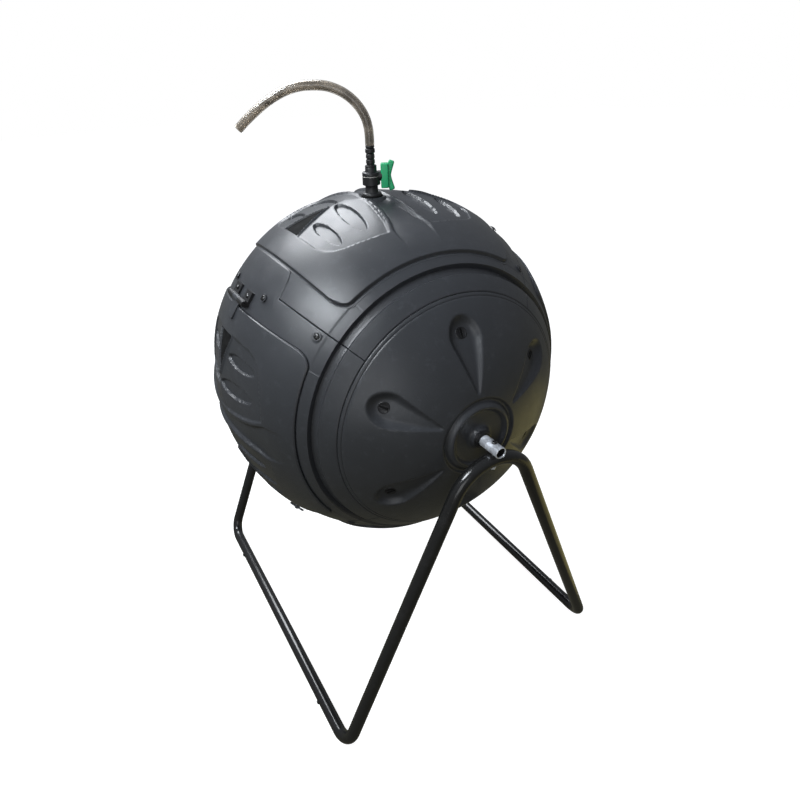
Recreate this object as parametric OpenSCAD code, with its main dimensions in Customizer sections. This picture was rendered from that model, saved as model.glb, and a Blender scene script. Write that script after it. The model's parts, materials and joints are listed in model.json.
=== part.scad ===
// Compost tumbler: a ball-shaped drum that turns on a fixed axle between two
// bent-tube end frames. X runs along the axle, Y from front to back, Z up.
// The origin is on the ground, midway between the frames, under the axle.

/* [Drum] */
// Radius of the ball that the panels and caps form
drum_r = 352; // [300:1:420]
// Thickness of the moulded panels, caps and door
shell_t = 4; // [3:0.5:6]
// Distance from the crown of a cap to its joint with the panels
cap_depth = 90; // [76:1:110]
// Distance from that joint to the middle of the clamping groove
groove_inset = 31; // [26:1:40]
// Width of the clamping groove
groove_w = 13; // [8:1:18]
// Depth of the clamping groove
groove_d = 6; // [3:1:9]
// Angle that the drum stands turned from upright
drum_turn = 2; // [-10:1:10]
// Height of the raised field on each panel
field_rise = 4.4; // [3:0.2:7]
// Distance from the middle of the groove to the end of the raised field
field_inset = 26; // [18:1:60]
// Half angle of the raised field, around the axle
field_angle = 36; // [28:1:38]
// Height of the mixing fins inside the drum
fin_h = 55; // [30:5:90]

/* [Hub] */
// Outside radius of the hub disc
hub_r = 66; // [50:1:80]
// Depth of the hub disc below the crown of the cap
hub_sink = 9; // [6:1:14]
// Outside radius of the hub bush
bush_r = 14; // [13:0.5:18]
// Length of the hub bush's sleeve
bush_l = 26; // [20:1:40]

/* [Vents] */
// Distance of the vents from the axle's centre line
vent_r = 184; // [150:1:200]
// Radius of the vent plugs
vent_plug_r = 11; // [8:1:13]

/* [Axle] */
// Height of the axle's centre line above the ground
axle_h = 640; // [600:1:800]
// Outside diameter of the axle tube
axle_d = 21.3; // [16:0.1:24]
// Wall of the axle tube
axle_wall = 1.6; // [1:0.1:2.5]
// Length of the axle that stands out past the middle of each frame
axle_overhang = 19; // [16:1:40]

/* [Stand] */
// Outside diameter of the stand tube
tube_d = 25.4; // [22:0.2:32]
// Wall of the stand tube
tube_wall = 1.5; // [1:0.1:2.5]
// Distance between the centre lines of the front and back base rails
base_w = 640; // [560:5:760]
// Distance from the crown of a cap to the middle of the arch beside it
arch_gap = 33; // [30:1:50]
// Distance that the top of each end frame leans out from its foot
frame_lean = 10; // [0:1:20]
// Bend radius of the arch under the axle, at the tube's centre line
arch_bend_r = 85; // [60:5:110]
// Bend radius of the bottom corners, at the tube's centre line
corner_bend_r = 42; // [36:2:60]
// Distance from the foot of each end frame to the joints in its base rails
joint_inset = 139; // [110:1:180]
// Length of the swaged end inside each joint
swage_l = 40; // [30:2:60]

/* [Door] */
// Width of the door that lies on the panel round the opening
door_lap = 14; // [10:1:20]
// Diameter of the hinge pin
hinge_pin_d = 5; // [4:0.5:6]
// Distance from the door's edge to the hinge pin
hinge_reach = 12; // [11:0.5:16]
// Distance of the turn latches from the middle of the door
latch_x = 90; // [50:5:130]
// Length of a turn latch
latch_l = 44; // [36:2:60]

/* [Valve] */
// Distance of the valve from the middle of the drum, along the axle
valve_x = 20; // [10:1:30]
// Distance of the valve to the front of the axle's centre line
valve_y = 18; // [12:1:24]
// Height of the valve from its seat to the tip of the barb
valve_h = 86; // [80:1:100]
// Direction that the handle's spindle points, from the axle's direction
spindle_angle = 60; // [50:5:80]
// Outside diameter of the clear hose
hose_d = 16; // [14:1:18]
// Bore of the clear hose
hose_bore = 12; // [10:0.5:13]

/* [Clearances] */
// Radial clearance of shafts and pins that turn in a bore
running_gap = 0.05; // [0.02:0.01:0.1]
// Clearance between fixed pieces that slide together
fit_gap = 0.2; // [0.1:0.05:0.4]
// Clearance between moulded shells that lie on each other
shell_gap = 0.4; // [0.3:0.1:0.8]

/* [Hidden] */
$fn = 96;

// Colours
black = [0.16, 0.17, 0.18];
powder = [0.10, 0.10, 0.10];
zinc = [0.75, 0.77, 0.78];
nylon = [0.22, 0.22, 0.23];
green = [0.10, 0.55, 0.30];
vinyl = [0.80, 0.79, 0.72];

// Stand
arch_x = drum_r + arch_gap;
foot_x = arch_x - frame_lean;
rail_joint_x = foot_x - joint_inset;
tube_r = tube_d / 2;
foot_y = base_w / 2;
axle_r = axle_d / 2;
rest_gap = 0.3;
bend_swell = 0.05;
bend_lap = 1;
arch_top_z = axle_h - axle_r - rest_gap - tube_r;
leg_rise = arch_top_z - tube_r;
leg_angle = acos(arch_bend_r / norm([foot_y, leg_rise - arch_bend_r]))
            - atan2(leg_rise - arch_bend_r, foot_y);
apex_z = arch_top_z + arch_bend_r * (1 / sin(leg_angle) - 1);
apex_x = foot_x + (arch_x - foot_x) * (apex_z - tube_r) / leg_rise;
swage_d = tube_d - 2 * tube_wall - 2 * fit_gap;
rail_screw_x = rail_joint_x + swage_l / 2;
screw_d = 5;
bolt_d = 6;
washer_t = 2;
axle_half = arch_x + axle_overhang;

// Drum
cap_x = drum_r - cap_depth;
groove_x = cap_x - groove_inset;
field_x = groove_x - field_inset;
inner_r = drum_r - shell_t;
lip_r = inner_r - shell_gap;
groove_wall = shell_t;
groove_tilt = asin(groove_x / drum_r);
fin_t = 6;
fin_x = 140;
panel_gap = 0.5;
lip_angle = 4.2;
seam_screw_angle = 2.4;
inner_screw_x = 70;
outer_screw_x = field_x - 10;
seam_screw_xs = [-outer_screw_x, -inner_screw_x, inner_screw_x, outer_screw_x];
TOP = 0;
FRONT = 90;
BOTTOM = 180;
BACK = 270;
hub_x = drum_r - hub_sink;
bush_flange_t = 3;
crown_x = drum_r;
ring_x = crown_x + bush_flange_t + washer_t + 2 * fit_gap;
ring_t = 1.2;
vent_x = sqrt(drum_r * drum_r - vent_r * vent_r);
vent_depth = 14;
vent_step = 60;

// Door
field_r = drum_r + field_rise;
door_in_r = drum_r + shell_gap;
lap_angle = door_lap / drum_r * 180 / PI;
open_angle = field_angle - lap_angle;
open_x = field_x - door_lap;
hinge_angle = FRONT + drum_turn - field_angle - hinge_reach / drum_r * 180 / PI;
knuckle_r = hinge_pin_d / 2 + 3.5;
hinge_r = drum_r + knuckle_r + 0.5;
knuckle_x = 13.5;
bracket_x = 40;
foot_l = 24;
foot_t = 3;
foot_screw_x = (knuckle_x + bracket_x) / 2;
foot_screw_angle = hinge_angle - 14 / drum_r * 180 / PI;
foot_screw_r = drum_r + 4.4;
latch_angle = FRONT + drum_turn + field_angle + 2;
latch_w = 12;
latch_t = 3.5;
latch_lift = field_rise + 0.9;

// Valve: heights above its seat
seat_z = axle_h + drum_r + 0.6;
port_r = 4;
seat_r = 21;
boss_h = shell_t + 6;
shank_r = 9;
body_z = 20;
body_h = 30;
body_r = 16;
barb_z = body_z + body_h;
barb_r = hose_bore / 2;
ball_r = 9;
spindle_z = body_z + body_h / 2;
spindle_r = 4;
wing_l = 25;

// Clear hose: centre line of its free arc, as distance away from the valve and
// height above the barb's tip, in the plane opposite the handle
hose_route = [[0, 0], [0, 13], [1, 27], [5, 43], [13, 58], [24, 71], [38, 82],
              [54, 90], [71, 95], [89, 97], [107, 97], [125, 94], [142, 89],
              [158, 82], [173, 74], [187, 65], [201, 55], [214, 45], [227, 34]];
hose_sides = 12;

// ---- Helpers ----

function unit(v) = v / norm(v);

// A round bar from point p to point q
module bar(p, q, r) {
    v = q - p;
    translate(p)
        rotate([0, acos(v[2] / norm(v)), atan2(v[1], v[0])])
            cylinder(r = r, h = norm(v));
}

// Distance from corner b to where a bend of radius r starts
function bend_reach(a, b, c, r) =
    r * sqrt((1 + unit(a - b) * unit(c - b)) / (1 - unit(a - b) * unit(c - b)));

// A round bend of bar radius t and bend radius r in the corner b of a-b-c
module bend(a, b, c, r, t) {
    u = unit(a - b);
    v = unit(c - b);
    corner = acos(u * v);
    centre = b + unit(u + v) * r / sin(corner / 2);
    ex = unit(b + u * bend_reach(a, b, c, r) - centre);
    ey = -u;
    ez = cross(ex, ey);
    multmatrix([[ex[0], ey[0], ez[0], centre[0]],
                [ex[1], ey[1], ez[1], centre[1]],
                [ex[2], ey[2], ez[2], centre[2]]])
        rotate_extrude(angle = 180 - corner)
            translate([r, 0]) circle(r = t + bend_swell, $fn = 48);
}

// A bar of radius t along points, each inner corner bent to its radius.
// A bend is a little fatter than the straight bars, which reach into it.
module bent_bar(points, radii, t) {
    last = len(points) - 1;
    for (i = [1 : last - 1])
        bend(points[i - 1], points[i], points[i + 1], radii[i - 1], t);
    for (i = [0 : last - 1]) {
        p = points[i];
        q = points[i + 1];
        from = i == 0 ? 0 : bend_reach(points[i - 1], p, q, radii[i - 1]) - bend_lap;
        to = i == last - 1 ? 0 : bend_reach(p, q, points[i + 2], radii[i]) - bend_lap;
        bar(p + unit(q - p) * from, q - unit(q - p) * to, t);
    }
}

// Puts a shape made round local Z onto the axle: angle 0 is the top of the
// drum and angles grow towards the front
module on_axle() {
    translate([0, 0, axle_h]) rotate([0, 90, 0]) children();
}

// Puts a shape on the drum, at distance x along the axle and angle phi round
// it, with local Z straight out at radius r
module on_drum(x, phi, r = drum_r) {
    translate([0, 0, axle_h])
        rotate([phi, 0, 0]) rotate([0, asin(x / drum_r), 0])
            translate([0, 0, r]) children();
}

// A slice of a spherical shell between two radii, from angle a to angle b
// round the axle and from x = -half_x to half_x along it
module shell_slice(r_in, r_out, a, b, half_x) {
    on_axle() rotate_extrude(angle = b - a, start = 180 + a, $fn = 180)
        intersection() {
            difference() {
                circle(r = r_out);
                circle(r = r_in);
            }
            translate([0, -half_x]) square([r_out, 2 * half_x]);
        }
}

// Both ends of a thing that is drawn at +X
module both_ends() {
    children();
    mirror([1, 0, 0]) children();
}

// A screw with a domed head: shank down local -Z, head on local Z = 0
module screw(head_r, head_h, shank_r, shank_l) {
    cylinder(r = head_r, h = head_h * 0.5);
    translate([0, 0, head_h * 0.5]) cylinder(r1 = head_r, r2 = head_r * 0.6, h = head_h * 0.5);
    translate([0, 0, -shank_l]) cylinder(r = shank_r, h = shank_l);
}

// ---- Stand ----

module end_frame() {
    points = [
        [rail_joint_x, -foot_y, tube_r],
        [foot_x, -foot_y, tube_r],
        [apex_x, 0, apex_z],
        [foot_x, foot_y, tube_r],
        [rail_joint_x, foot_y, tube_r]];
    radii = [corner_bend_r, arch_bend_r, corner_bend_r];
    color(powder) difference() {
        bent_bar(points, radii, tube_r);
        bent_bar(points, radii, tube_r - tube_wall);
        translate([arch_x, 0, arch_top_z - tube_d])
            cylinder(d = bolt_d + 2 * fit_gap, h = 2 * tube_d);
        for (s = [-1, 1])
            translate([rail_screw_x, s * foot_y, tube_r]) rotate([-90 * s, 0, 0])
                cylinder(d = screw_d + 2 * fit_gap, h = tube_d);
    }
}

module right_end_frame() end_frame();

module left_end_frame() mirror([1, 0, 0]) end_frame();

module base_rail(side) {
    end_x = rail_joint_x + swage_l;
    color(powder) difference() {
        union() {
            bar([-rail_joint_x + fit_gap, side * foot_y, tube_r],
                [rail_joint_x - fit_gap, side * foot_y, tube_r], tube_r);
            bar([-end_x, side * foot_y, tube_r], [end_x, side * foot_y, tube_r], swage_d / 2);
        }
        bar([-end_x - 1, side * foot_y, tube_r], [end_x + 1, side * foot_y, tube_r],
            swage_d / 2 - tube_wall);
        for (s = [-1, 1])
            translate([s * rail_screw_x, side * foot_y, tube_r]) rotate([-90 * side, 0, 0])
                cylinder(d = screw_d + 2 * fit_gap, h = tube_d);
    }
}

module front_base_rail() base_rail(-1);

module back_base_rail() base_rail(1);

module rail_screws() {
    color(powder) for (x = [-rail_screw_x, rail_screw_x], s = [-1, 1])
        translate([x, s * (foot_y + tube_r), tube_r]) rotate([-90 * s, 0, 0])
            screw(4.5, 3, screw_d / 2, tube_r);
}

module axle() {
    color(zinc) difference() {
        on_axle() difference() {
            cylinder(r = axle_r, h = 2 * axle_half, center = true);
            cylinder(r = axle_r - axle_wall, h = 2 * axle_half + 2, center = true);
            for (s = [-1, 1])
                translate([0, 0, s * (ring_x + ring_t / 2)]) difference() {
                    cylinder(r = axle_d, h = ring_t + fit_gap, center = true);
                    cylinder(r = axle_r - 0.7, h = 2 * ring_t, center = true);
                }
        }
        for (s = [-1, 1])
            translate([s * arch_x, 0, axle_h])
                cylinder(d = bolt_d + 2 * fit_gap, h = 2 * axle_d, center = true);
    }
}

module axle_bolts() {
    low = arch_top_z - tube_r - 9;
    color(powder) both_ends() translate([arch_x, 0, 0]) difference() {
        union() {
            translate([0, 0, low]) cylinder(d = bolt_d, h = axle_h + axle_r + 2 - low);
            translate([0, 0, axle_h + axle_r - 0.3]) cylinder(d = 10, h = 3.8);
        }
        on_axle_tube();
    }
}

// The axle tube's outside, at the bolts, as a cutter
module on_axle_tube() {
    difference() {
        translate([-8, 0, axle_h]) rotate([0, 90, 0]) cylinder(r = axle_r + fit_gap, h = 16);
        translate([0, 0, axle_h]) cylinder(d = bolt_d, h = 3 * axle_d, center = true);
    }
}

module axle_nuts() {
    top = arch_top_z - tube_r - 2 * fit_gap;
    color(zinc) both_ends() translate([arch_x, 0, top - 6]) difference() {
        union() {
            cylinder(d = 11.5, h = 5, $fn = 6);
            translate([0, 0, 5]) cylinder(d = 12.5, h = 1);
        }
        translate([0, 0, -1]) cylinder(d = bolt_d + 2 * running_gap, h = 8);
    }
}

module thrust_washers() {
    color(zinc) both_ends()
        on_axle() translate([0, 0, crown_x + bush_flange_t + fit_gap]) difference() {
            cylinder(r = axle_r + 6, h = washer_t);
            translate([0, 0, -1]) cylinder(r = axle_r + fit_gap, h = washer_t + 2);
        }
}

module retaining_rings() {
    color(zinc) both_ends() on_axle() translate([0, 0, ring_x + fit_gap / 2]) difference() {
        cylinder(r = axle_r + 3, h = ring_t - fit_gap);
        translate([0, 0, -1]) cylinder(r = axle_r - 0.6, h = ring_t + 2);
    }
}

// ---- Drum ----

// Half section of a cap: radius from the axle along X, distance along Y
module cap_section() {
    difference() {
        union() {
            intersection() {
                difference() {
                    circle(r = drum_r, $fn = 180);
                    circle(r = inner_r, $fn = 180);
                }
                translate([hub_r, cap_x + shell_gap]) square([drum_r, drum_r]);
            }
            // Lip that the panels clamp
            intersection() {
                difference() {
                    circle(r = lip_r, $fn = 180);
                    circle(r = lip_r - shell_t, $fn = 180);
                }
                translate([0, groove_x + groove_w])
                    square([drum_r, cap_x + 6 - groove_x - groove_w]);
            }
            // Ledge between lip and cap
            intersection() {
                difference() {
                    circle(r = inner_r + shell_t / 2, $fn = 180);
                    circle(r = lip_r - shell_t, $fn = 180);
                }
                translate([0, cap_x + shell_gap]) square([drum_r, 8]);
            }
            // Hub disc, its rim and the ridge round it
            translate([bush_r, hub_x - shell_t]) square([hub_r + 2 - bush_r, shell_t]);
            translate([hub_r - 2, hub_x - shell_t - 4]) square([4, shell_t + 6]);
            translate([hub_r - 12, hub_x - 1]) square([5, 7]);
            // Sleeve that holds the bush
            translate([bush_r, crown_x - bush_l]) square([4, bush_l]);
        }
        translate([0, crown_x - bush_l - 1]) square([bush_r + fit_gap / 4, bush_l + 2]);
    }
}

module end_cap() {
    color(black) difference() {
        union() {
            on_axle() rotate_extrude($fn = 180) cap_section();
            for (k = [0 : 5])
                on_drum(vent_x, drum_turn + k * vent_step, drum_r - vent_depth - shell_t)
                    cylinder(r = vent_plug_r + shell_t, h = vent_depth + 1);
        }
        for (k = [0 : 5])
            on_drum(vent_x, drum_turn + k * vent_step, drum_r - vent_depth) {
                cylinder(r = vent_plug_r + fit_gap, h = vent_depth + shell_t);
                translate([0, 0, -2 * shell_t]) cylinder(r = vent_plug_r - 4, h = 3 * shell_t);
            }
    }
}

module right_end_cap() end_cap();

module left_end_cap() mirror([1, 0, 0]) end_cap();

module hub_bush() {
    color(nylon) on_axle() difference() {
        union() {
            translate([0, 0, crown_x - bush_l]) cylinder(r = bush_r, h = bush_l);
            translate([0, 0, crown_x]) cylinder(r = bush_r + 4, h = bush_flange_t);
        }
        translate([0, 0, crown_x - bush_l - 1])
            cylinder(r = axle_r + running_gap, h = bush_l + bush_flange_t + 2);
    }
}

module right_hub_bush() hub_bush();

module left_hub_bush() mirror([1, 0, 0]) hub_bush();

// Half section of a panel, with its clamping groove at both ends
module panel_section() {
    intersection() {
        difference() {
            union() {
                difference() {
                    circle(r = drum_r, $fn = 180);
                    circle(r = inner_r, $fn = 180);
                }
                for (s = [-1, 1])
                    rotate(s * groove_tilt)
                        translate([inner_r - groove_d, -groove_w / 2 - groove_wall])
                            square([groove_d + 1, groove_w + 2 * groove_wall]);
            }
            for (s = [-1, 1])
                rotate(s * groove_tilt)
                    translate([drum_r - groove_d, -groove_w / 2]) square([2 * groove_d, groove_w]);
        }
        translate([0, -cap_x]) square([drum_r, 2 * cap_x]);
    }
}

// Lip of the panel that lies under the next panel's edge
module seam_lip(middle) {
    edge = middle + 45;
    shell_slice(lip_r - shell_t, lip_r, edge - 2.5, edge + lip_angle, field_x);
    shell_slice(lip_r - shell_t, inner_r + 1, edge - 2.5, edge - 0.5, field_x);
}

module panel_shell(middle) {
    gap_angle = panel_gap / drum_r * 90 / PI;
    on_axle()
        rotate_extrude(angle = 90 - 2 * gap_angle, start = 135 + middle + gap_angle, $fn = 180)
            panel_section();
}

// A panel whose middle is at the given angle, with its raised field
module panel(middle, fin) {
    at = middle + drum_turn;
    color(black) difference() {
        union() {
            panel_shell(at);
            shell_slice(drum_r - 1, field_r, at - field_angle, at + field_angle, field_x);
            seam_lip(at);
            if (fin) mixing_fin(at + 20);
            if (middle == TOP) valve_boss();
        }
        seam_holes();
        if (middle == TOP) at_valve() {
            cylinder(r = seat_r + 2, h = 4 * field_rise);
            translate([0, 0, -8 * shell_t]) cylinder(r = shank_r + fit_gap, h = 9 * shell_t);
        }
    }
}

// Fin that turns the compost over, moulded inside a panel
module mixing_fin(phi) {
    intersection() {
        on_drum(0, phi, inner_r - fin_h)
            translate([-fin_x, -fin_t / 2, 0]) cube([2 * fin_x, fin_t, fin_h + 3]);
        translate([0, 0, axle_h]) sphere(r = inner_r + 1, $fn = 180);
    }
}

// Flat seat for the valve, inside a round recess in the raised field
module valve_boss() {
    at_valve() translate([0, 0, -boss_h]) cylinder(r = seat_r + 2, h = boss_h);
}

module seam_holes() {
    for (seam = [45, 135, 225, 315], x = seam_screw_xs)
        on_drum(x, seam + drum_turn + seam_screw_angle, drum_r - 3 * shell_t)
            cylinder(d = screw_d + 2 * fit_gap, h = 5 * shell_t);
}

module top_panel() panel(TOP, true);

module bottom_panel() panel(BOTTOM, true);

module back_panel() panel(BACK, false);

// The front panel has an opening in place of the raised field
module front_panel() {
    at = FRONT + drum_turn;
    color(black) difference() {
        union() {
            panel_shell(at);
            seam_lip(at);
        }
        shell_slice(inner_r - 2, drum_r + 2, at - open_angle, at + open_angle, open_x);
        seam_holes();
        hinge_holes();
        latch_holes();
    }
}

module seam_screws() {
    color(powder) for (seam = [45, 135, 225, 315], x = seam_screw_xs)
        on_drum(x, seam + drum_turn + seam_screw_angle, drum_r + 0.4)
            screw(5.5, 3, screw_d / 2, 2.4 * shell_t);
}

module vent_plug() {
    difference() {
        cylinder(r = vent_plug_r, h = 5);
        translate([-vent_plug_r * 0.6, -1.5, 2]) cube([vent_plug_r * 1.2, 3, 4]);
        translate([0, 0, -1]) cylinder(r = vent_plug_r * 0.5, h = 3.5);
    }
}

module vent_plugs() {
    color(nylon) both_ends() for (k = [0 : 5])
        on_drum(vent_x, drum_turn + k * vent_step, drum_r - vent_depth + fit_gap) vent_plug();
}

// ---- Door ----

module hinge_holes() {
    for (s = [-1, 1])
        on_drum(s * foot_screw_x, foot_screw_angle, drum_r - 3 * shell_t)
            cylinder(d = 4 + 2 * fit_gap, h = 5 * shell_t);
}

// Two knuckles on feet that stand on the front panel above the door
module hinge_bracket() {
    width = bracket_x - knuckle_x - 0.5;
    color(nylon) difference() {
        for (s = [-1, 1])
            translate([s * (knuckle_x + bracket_x + 0.5) / 2, 0, axle_h]) rotate([hinge_angle, 0, 0]) {
                translate([-width / 2, 0, hinge_r]) rotate([0, 90, 0]) cylinder(r = knuckle_r, h = width);
                translate([-width / 2, -2, drum_r - 6]) cube([width, foot_l + 2, foot_t + 6]);
            }
        translate([0, 0, axle_h]) sphere(r = drum_r + 0.05, $fn = 180);
        translate([0, 0, axle_h]) rotate([hinge_angle, 0, 0])
            translate([-bracket_x - 1, 0, hinge_r]) rotate([0, 90, 0])
                cylinder(r = hinge_pin_d / 2 + running_gap, h = 2 * bracket_x + 2);
        hinge_holes();
        for (s = [-1, 1])
            on_drum(s * foot_screw_x, foot_screw_angle, foot_screw_r - fit_gap)
                cylinder(r = 4 + 2 * fit_gap, h = 2 * foot_t);
    }
}

module hinge_screws() {
    color(zinc) for (s = [-1, 1])
        on_drum(s * foot_screw_x, foot_screw_angle, foot_screw_r)
            screw(4, 2.4, 2, foot_screw_r - inner_r);
}

module hinge_pin() {
    color(zinc) translate([0, 0, axle_h]) rotate([hinge_angle, 0, 0])
        translate([-bracket_x - 2, 0, hinge_r]) rotate([0, 90, 0])
            cylinder(d = hinge_pin_d, h = 2 * bracket_x + 4);
}

module door() {
    at = FRONT + drum_turn;
    color(black) difference() {
        union() {
            shell_slice(door_in_r, field_r, at - field_angle, at + field_angle, field_x);
            translate([0, 0, axle_h]) rotate([hinge_angle, 0, 0]) {
                translate([-knuckle_x, 0, hinge_r]) rotate([0, 90, 0])
                    cylinder(r = knuckle_r, h = 2 * knuckle_x);
                translate([-knuckle_x, -hinge_reach - 26, field_r - 2])
                    cube([2 * knuckle_x, hinge_reach + 26, 4.5]);
            }
        }
        translate([0, 0, axle_h]) rotate([hinge_angle, 0, 0])
            translate([-knuckle_x - 1, 0, hinge_r]) rotate([0, 90, 0])
                cylinder(r = hinge_pin_d / 2 + running_gap, h = 2 * knuckle_x + 2);
    }
}

module latch_holes() {
    for (s = [-1, 1])
        on_drum(s * latch_x, latch_angle, drum_r - 3 * shell_t)
            cylinder(d = 4 + 2 * fit_gap, h = 5 * shell_t);
}

// A two-armed turn latch, lying along the door's lower edge
module door_latch(side) {
    color(black) on_drum(side * latch_x, latch_angle) difference() {
        union() {
            translate([0, 0, 0.5]) cylinder(r = latch_w / 2, h = latch_lift + latch_t - 0.5);
            translate([-latch_l / 2 + latch_w / 2, -latch_w / 2, latch_lift])
                cube([latch_l - latch_w, latch_w, latch_t]);
            for (s = [-1, 1])
                translate([s * (latch_l - latch_w) / 2, 0, latch_lift])
                    cylinder(r = latch_w / 2, h = latch_t);
        }
        translate([0, 0, -1]) cylinder(r = 2 + running_gap, h = latch_lift + latch_t + 2);
    }
}

module door_latch_right() door_latch(1);

module door_latch_left() door_latch(-1);

module latch_screws() {
    color(zinc) for (s = [-1, 1])
        on_drum(s * latch_x, latch_angle, drum_r + latch_lift + latch_t + fit_gap)
            screw(4, 2.4, 2, latch_lift + latch_t + 1.6 * shell_t);
}

// ---- Valve and hose ----

module at_valve() {
    translate([valve_x, -valve_y, seat_z]) children();
}

// Turns local X along the handle's spindle, at the middle of the valve body
module at_spindle() {
    at_valve() rotate([0, 0, spindle_angle]) translate([0, 0, spindle_z]) children();
}

module valve_gasket() {
    color(powder) at_valve() difference() {
        cylinder(r = seat_r - 1, h = 2);
        translate([0, 0, -1]) cylinder(r = shank_r + fit_gap, h = 4);
    }
}

module valve_flange() {
    color(nylon) at_valve() difference() {
        union() {
            translate([0, 0, 2]) cylinder(r = seat_r - 3, h = 4);
            translate([0, 0, 6]) cylinder(r = 12, h = body_z - 6);
            translate([0, 0, -26]) cylinder(r = shank_r, h = 28);
        }
        translate([0, 0, -27]) cylinder(r = port_r, h = 60);
    }
}

module valve_backnut() {
    color(nylon) at_valve() difference() {
        translate([0, 0, -19]) cylinder(r = 17, h = 8, $fn = 6);
        translate([0, 0, -20]) cylinder(r = shank_r + running_gap, h = 10);
    }
}

module valve_body() {
    color(nylon) at_valve() difference() {
        union() {
            translate([0, 0, body_z]) cylinder(r = body_r, h = body_h - 8);
            translate([0, 0, body_z + body_h - 8]) cylinder(r = 10, h = 8);
            translate([0, 0, spindle_z]) rotate([0, 0, spindle_angle]) rotate([0, 90, 0])
                cylinder(r = 9, h = body_r + 4);
        }
        translate([0, 0, body_z - 1]) cylinder(r = port_r, h = body_h + 2);
        translate([0, 0, spindle_z]) sphere(r = ball_r + shell_gap);
        translate([0, 0, spindle_z]) rotate([0, 0, spindle_angle]) rotate([0, 90, 0])
            cylinder(r = spindle_r + running_gap, h = 2 * body_r);
    }
}

module valve_barb() {
    ribs = 3;
    rib_h = 7;
    color(nylon) at_valve() translate([0, 0, barb_z]) difference() {
        union() {
            cylinder(r = barb_r + 0.6, h = valve_h - barb_z);
            cylinder(r = barb_r + 4, h = 3);
            for (k = [0 : ribs - 1])
                translate([0, 0, 6 + k * (rib_h + 2)])
                    cylinder(r1 = barb_r + 2.6, r2 = barb_r + 1.8, h = rib_h);
        }
        translate([0, 0, -1]) cylinder(r = port_r, h = valve_h);
    }
}

module valve_ball() {
    color(zinc) at_spindle() difference() {
        union() {
            sphere(r = ball_r);
            rotate([0, 90, 0]) cylinder(r = spindle_r, h = body_r + 8);
        }
        cylinder(r = port_r, h = 3 * ball_r, center = true);
    }
}

// Bow-tie handle: a tall skirt over the spindle boss, and two wings that flare away from the valve
module valve_handle() {
    skirt_x = body_r + 1.5;
    skirt_l = 14;
    wing_x = skirt_x + skirt_l - 3;
    color(green) at_spindle() difference() {
        union() {
            translate([skirt_x, -8, -21]) cube([skirt_l, 16, 42]);
            for (s = [-1, 1])
                translate([wing_x, 0, 0]) rotate([0, s * 20, 0])
                    translate([0, -5, s > 0 ? 0 : -wing_l]) cube([8, 10, wing_l]);
        }
        rotate([0, 90, 0]) cylinder(r = spindle_r + fit_gap / 2, h = body_r + 8.4);
        rotate([0, 90, 0]) cylinder(r = 10.2, h = body_r + 4.5);
    }
}

// The clear hose, closed at both ends as a plain tube
module hose() {
    out = spindle_angle + 180;
    path = [for (p = hose_route)
        [p[0] * cos(out), p[0] * sin(out), p[1]]];
    across = [-sin(out), cos(out), 0];
    last = len(path) - 1;
    rings = [for (i = [0 : last])
        let (along = unit(path[min(i + 1, last)] - path[max(i - 1, 0)]),
             side = cross(along, across))
        for (k = [0 : hose_sides - 1])
            path[i] + hose_d / 2 * (across * cos(k * 360 / hose_sides)
                                    + side * sin(k * 360 / hose_sides))];
    faces = concat(
        [for (i = [0 : last - 1], k = [0 : hose_sides - 1])
            let (n = (k + 1) % hose_sides, a = i * hose_sides, b = a + hose_sides)
            [a + k, a + n, b + n, b + k]],
        [[for (k = [0 : hose_sides - 1]) hose_sides - 1 - k]],
        [[for (k = [0 : hose_sides - 1]) last * hose_sides + k]]);
    color(vinyl) at_valve() translate([0, 0, valve_h]) polyhedron(rings, faces);
}

right_end_frame();
left_end_frame();
front_base_rail();
back_base_rail();
rail_screws();
axle();
axle_bolts();
axle_nuts();
thrust_washers();
retaining_rings();
right_end_cap();
left_end_cap();
right_hub_bush();
left_hub_bush();
top_panel();
front_panel();
bottom_panel();
back_panel();
seam_screws();
vent_plugs();
hinge_bracket();
hinge_screws();
hinge_pin();
latch_screws();
valve_gasket();
valve_flange();
valve_backnut();
valve_body();
valve_barb();
hose();
door();
door_latch_right();
door_latch_left();
valve_handle();
valve_ball();
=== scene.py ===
"""Compost tumbler: a ball-shaped drum that turns on a fixed axle between two bent-tube frames.

Lengths are in metres. X runs along the axle, the door faces -Y, and Z is up.
"""

import json
import math

import bmesh
import bpy
import numpy as np
from bpy.props import FloatProperty, FloatVectorProperty, PointerProperty
from mathutils import Matrix, Vector


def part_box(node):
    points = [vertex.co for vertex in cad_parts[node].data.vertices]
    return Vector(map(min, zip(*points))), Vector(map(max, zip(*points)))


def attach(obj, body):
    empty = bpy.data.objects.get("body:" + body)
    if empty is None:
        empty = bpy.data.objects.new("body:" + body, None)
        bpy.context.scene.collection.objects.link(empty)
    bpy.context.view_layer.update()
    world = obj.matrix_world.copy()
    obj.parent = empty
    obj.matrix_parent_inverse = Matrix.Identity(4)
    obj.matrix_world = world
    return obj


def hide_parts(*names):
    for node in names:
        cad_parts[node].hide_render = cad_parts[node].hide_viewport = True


bl_info = {
    "name": "Compost Tumbler",
    "version": (1, 0, 0),
    "blender": (4, 5, 0),
    "location": "View3D > Sidebar > Tumbler",
    "description": "Builds a ball-shaped compost tumbler round its packed frame",
    "category": "Add Mesh",
}

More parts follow.
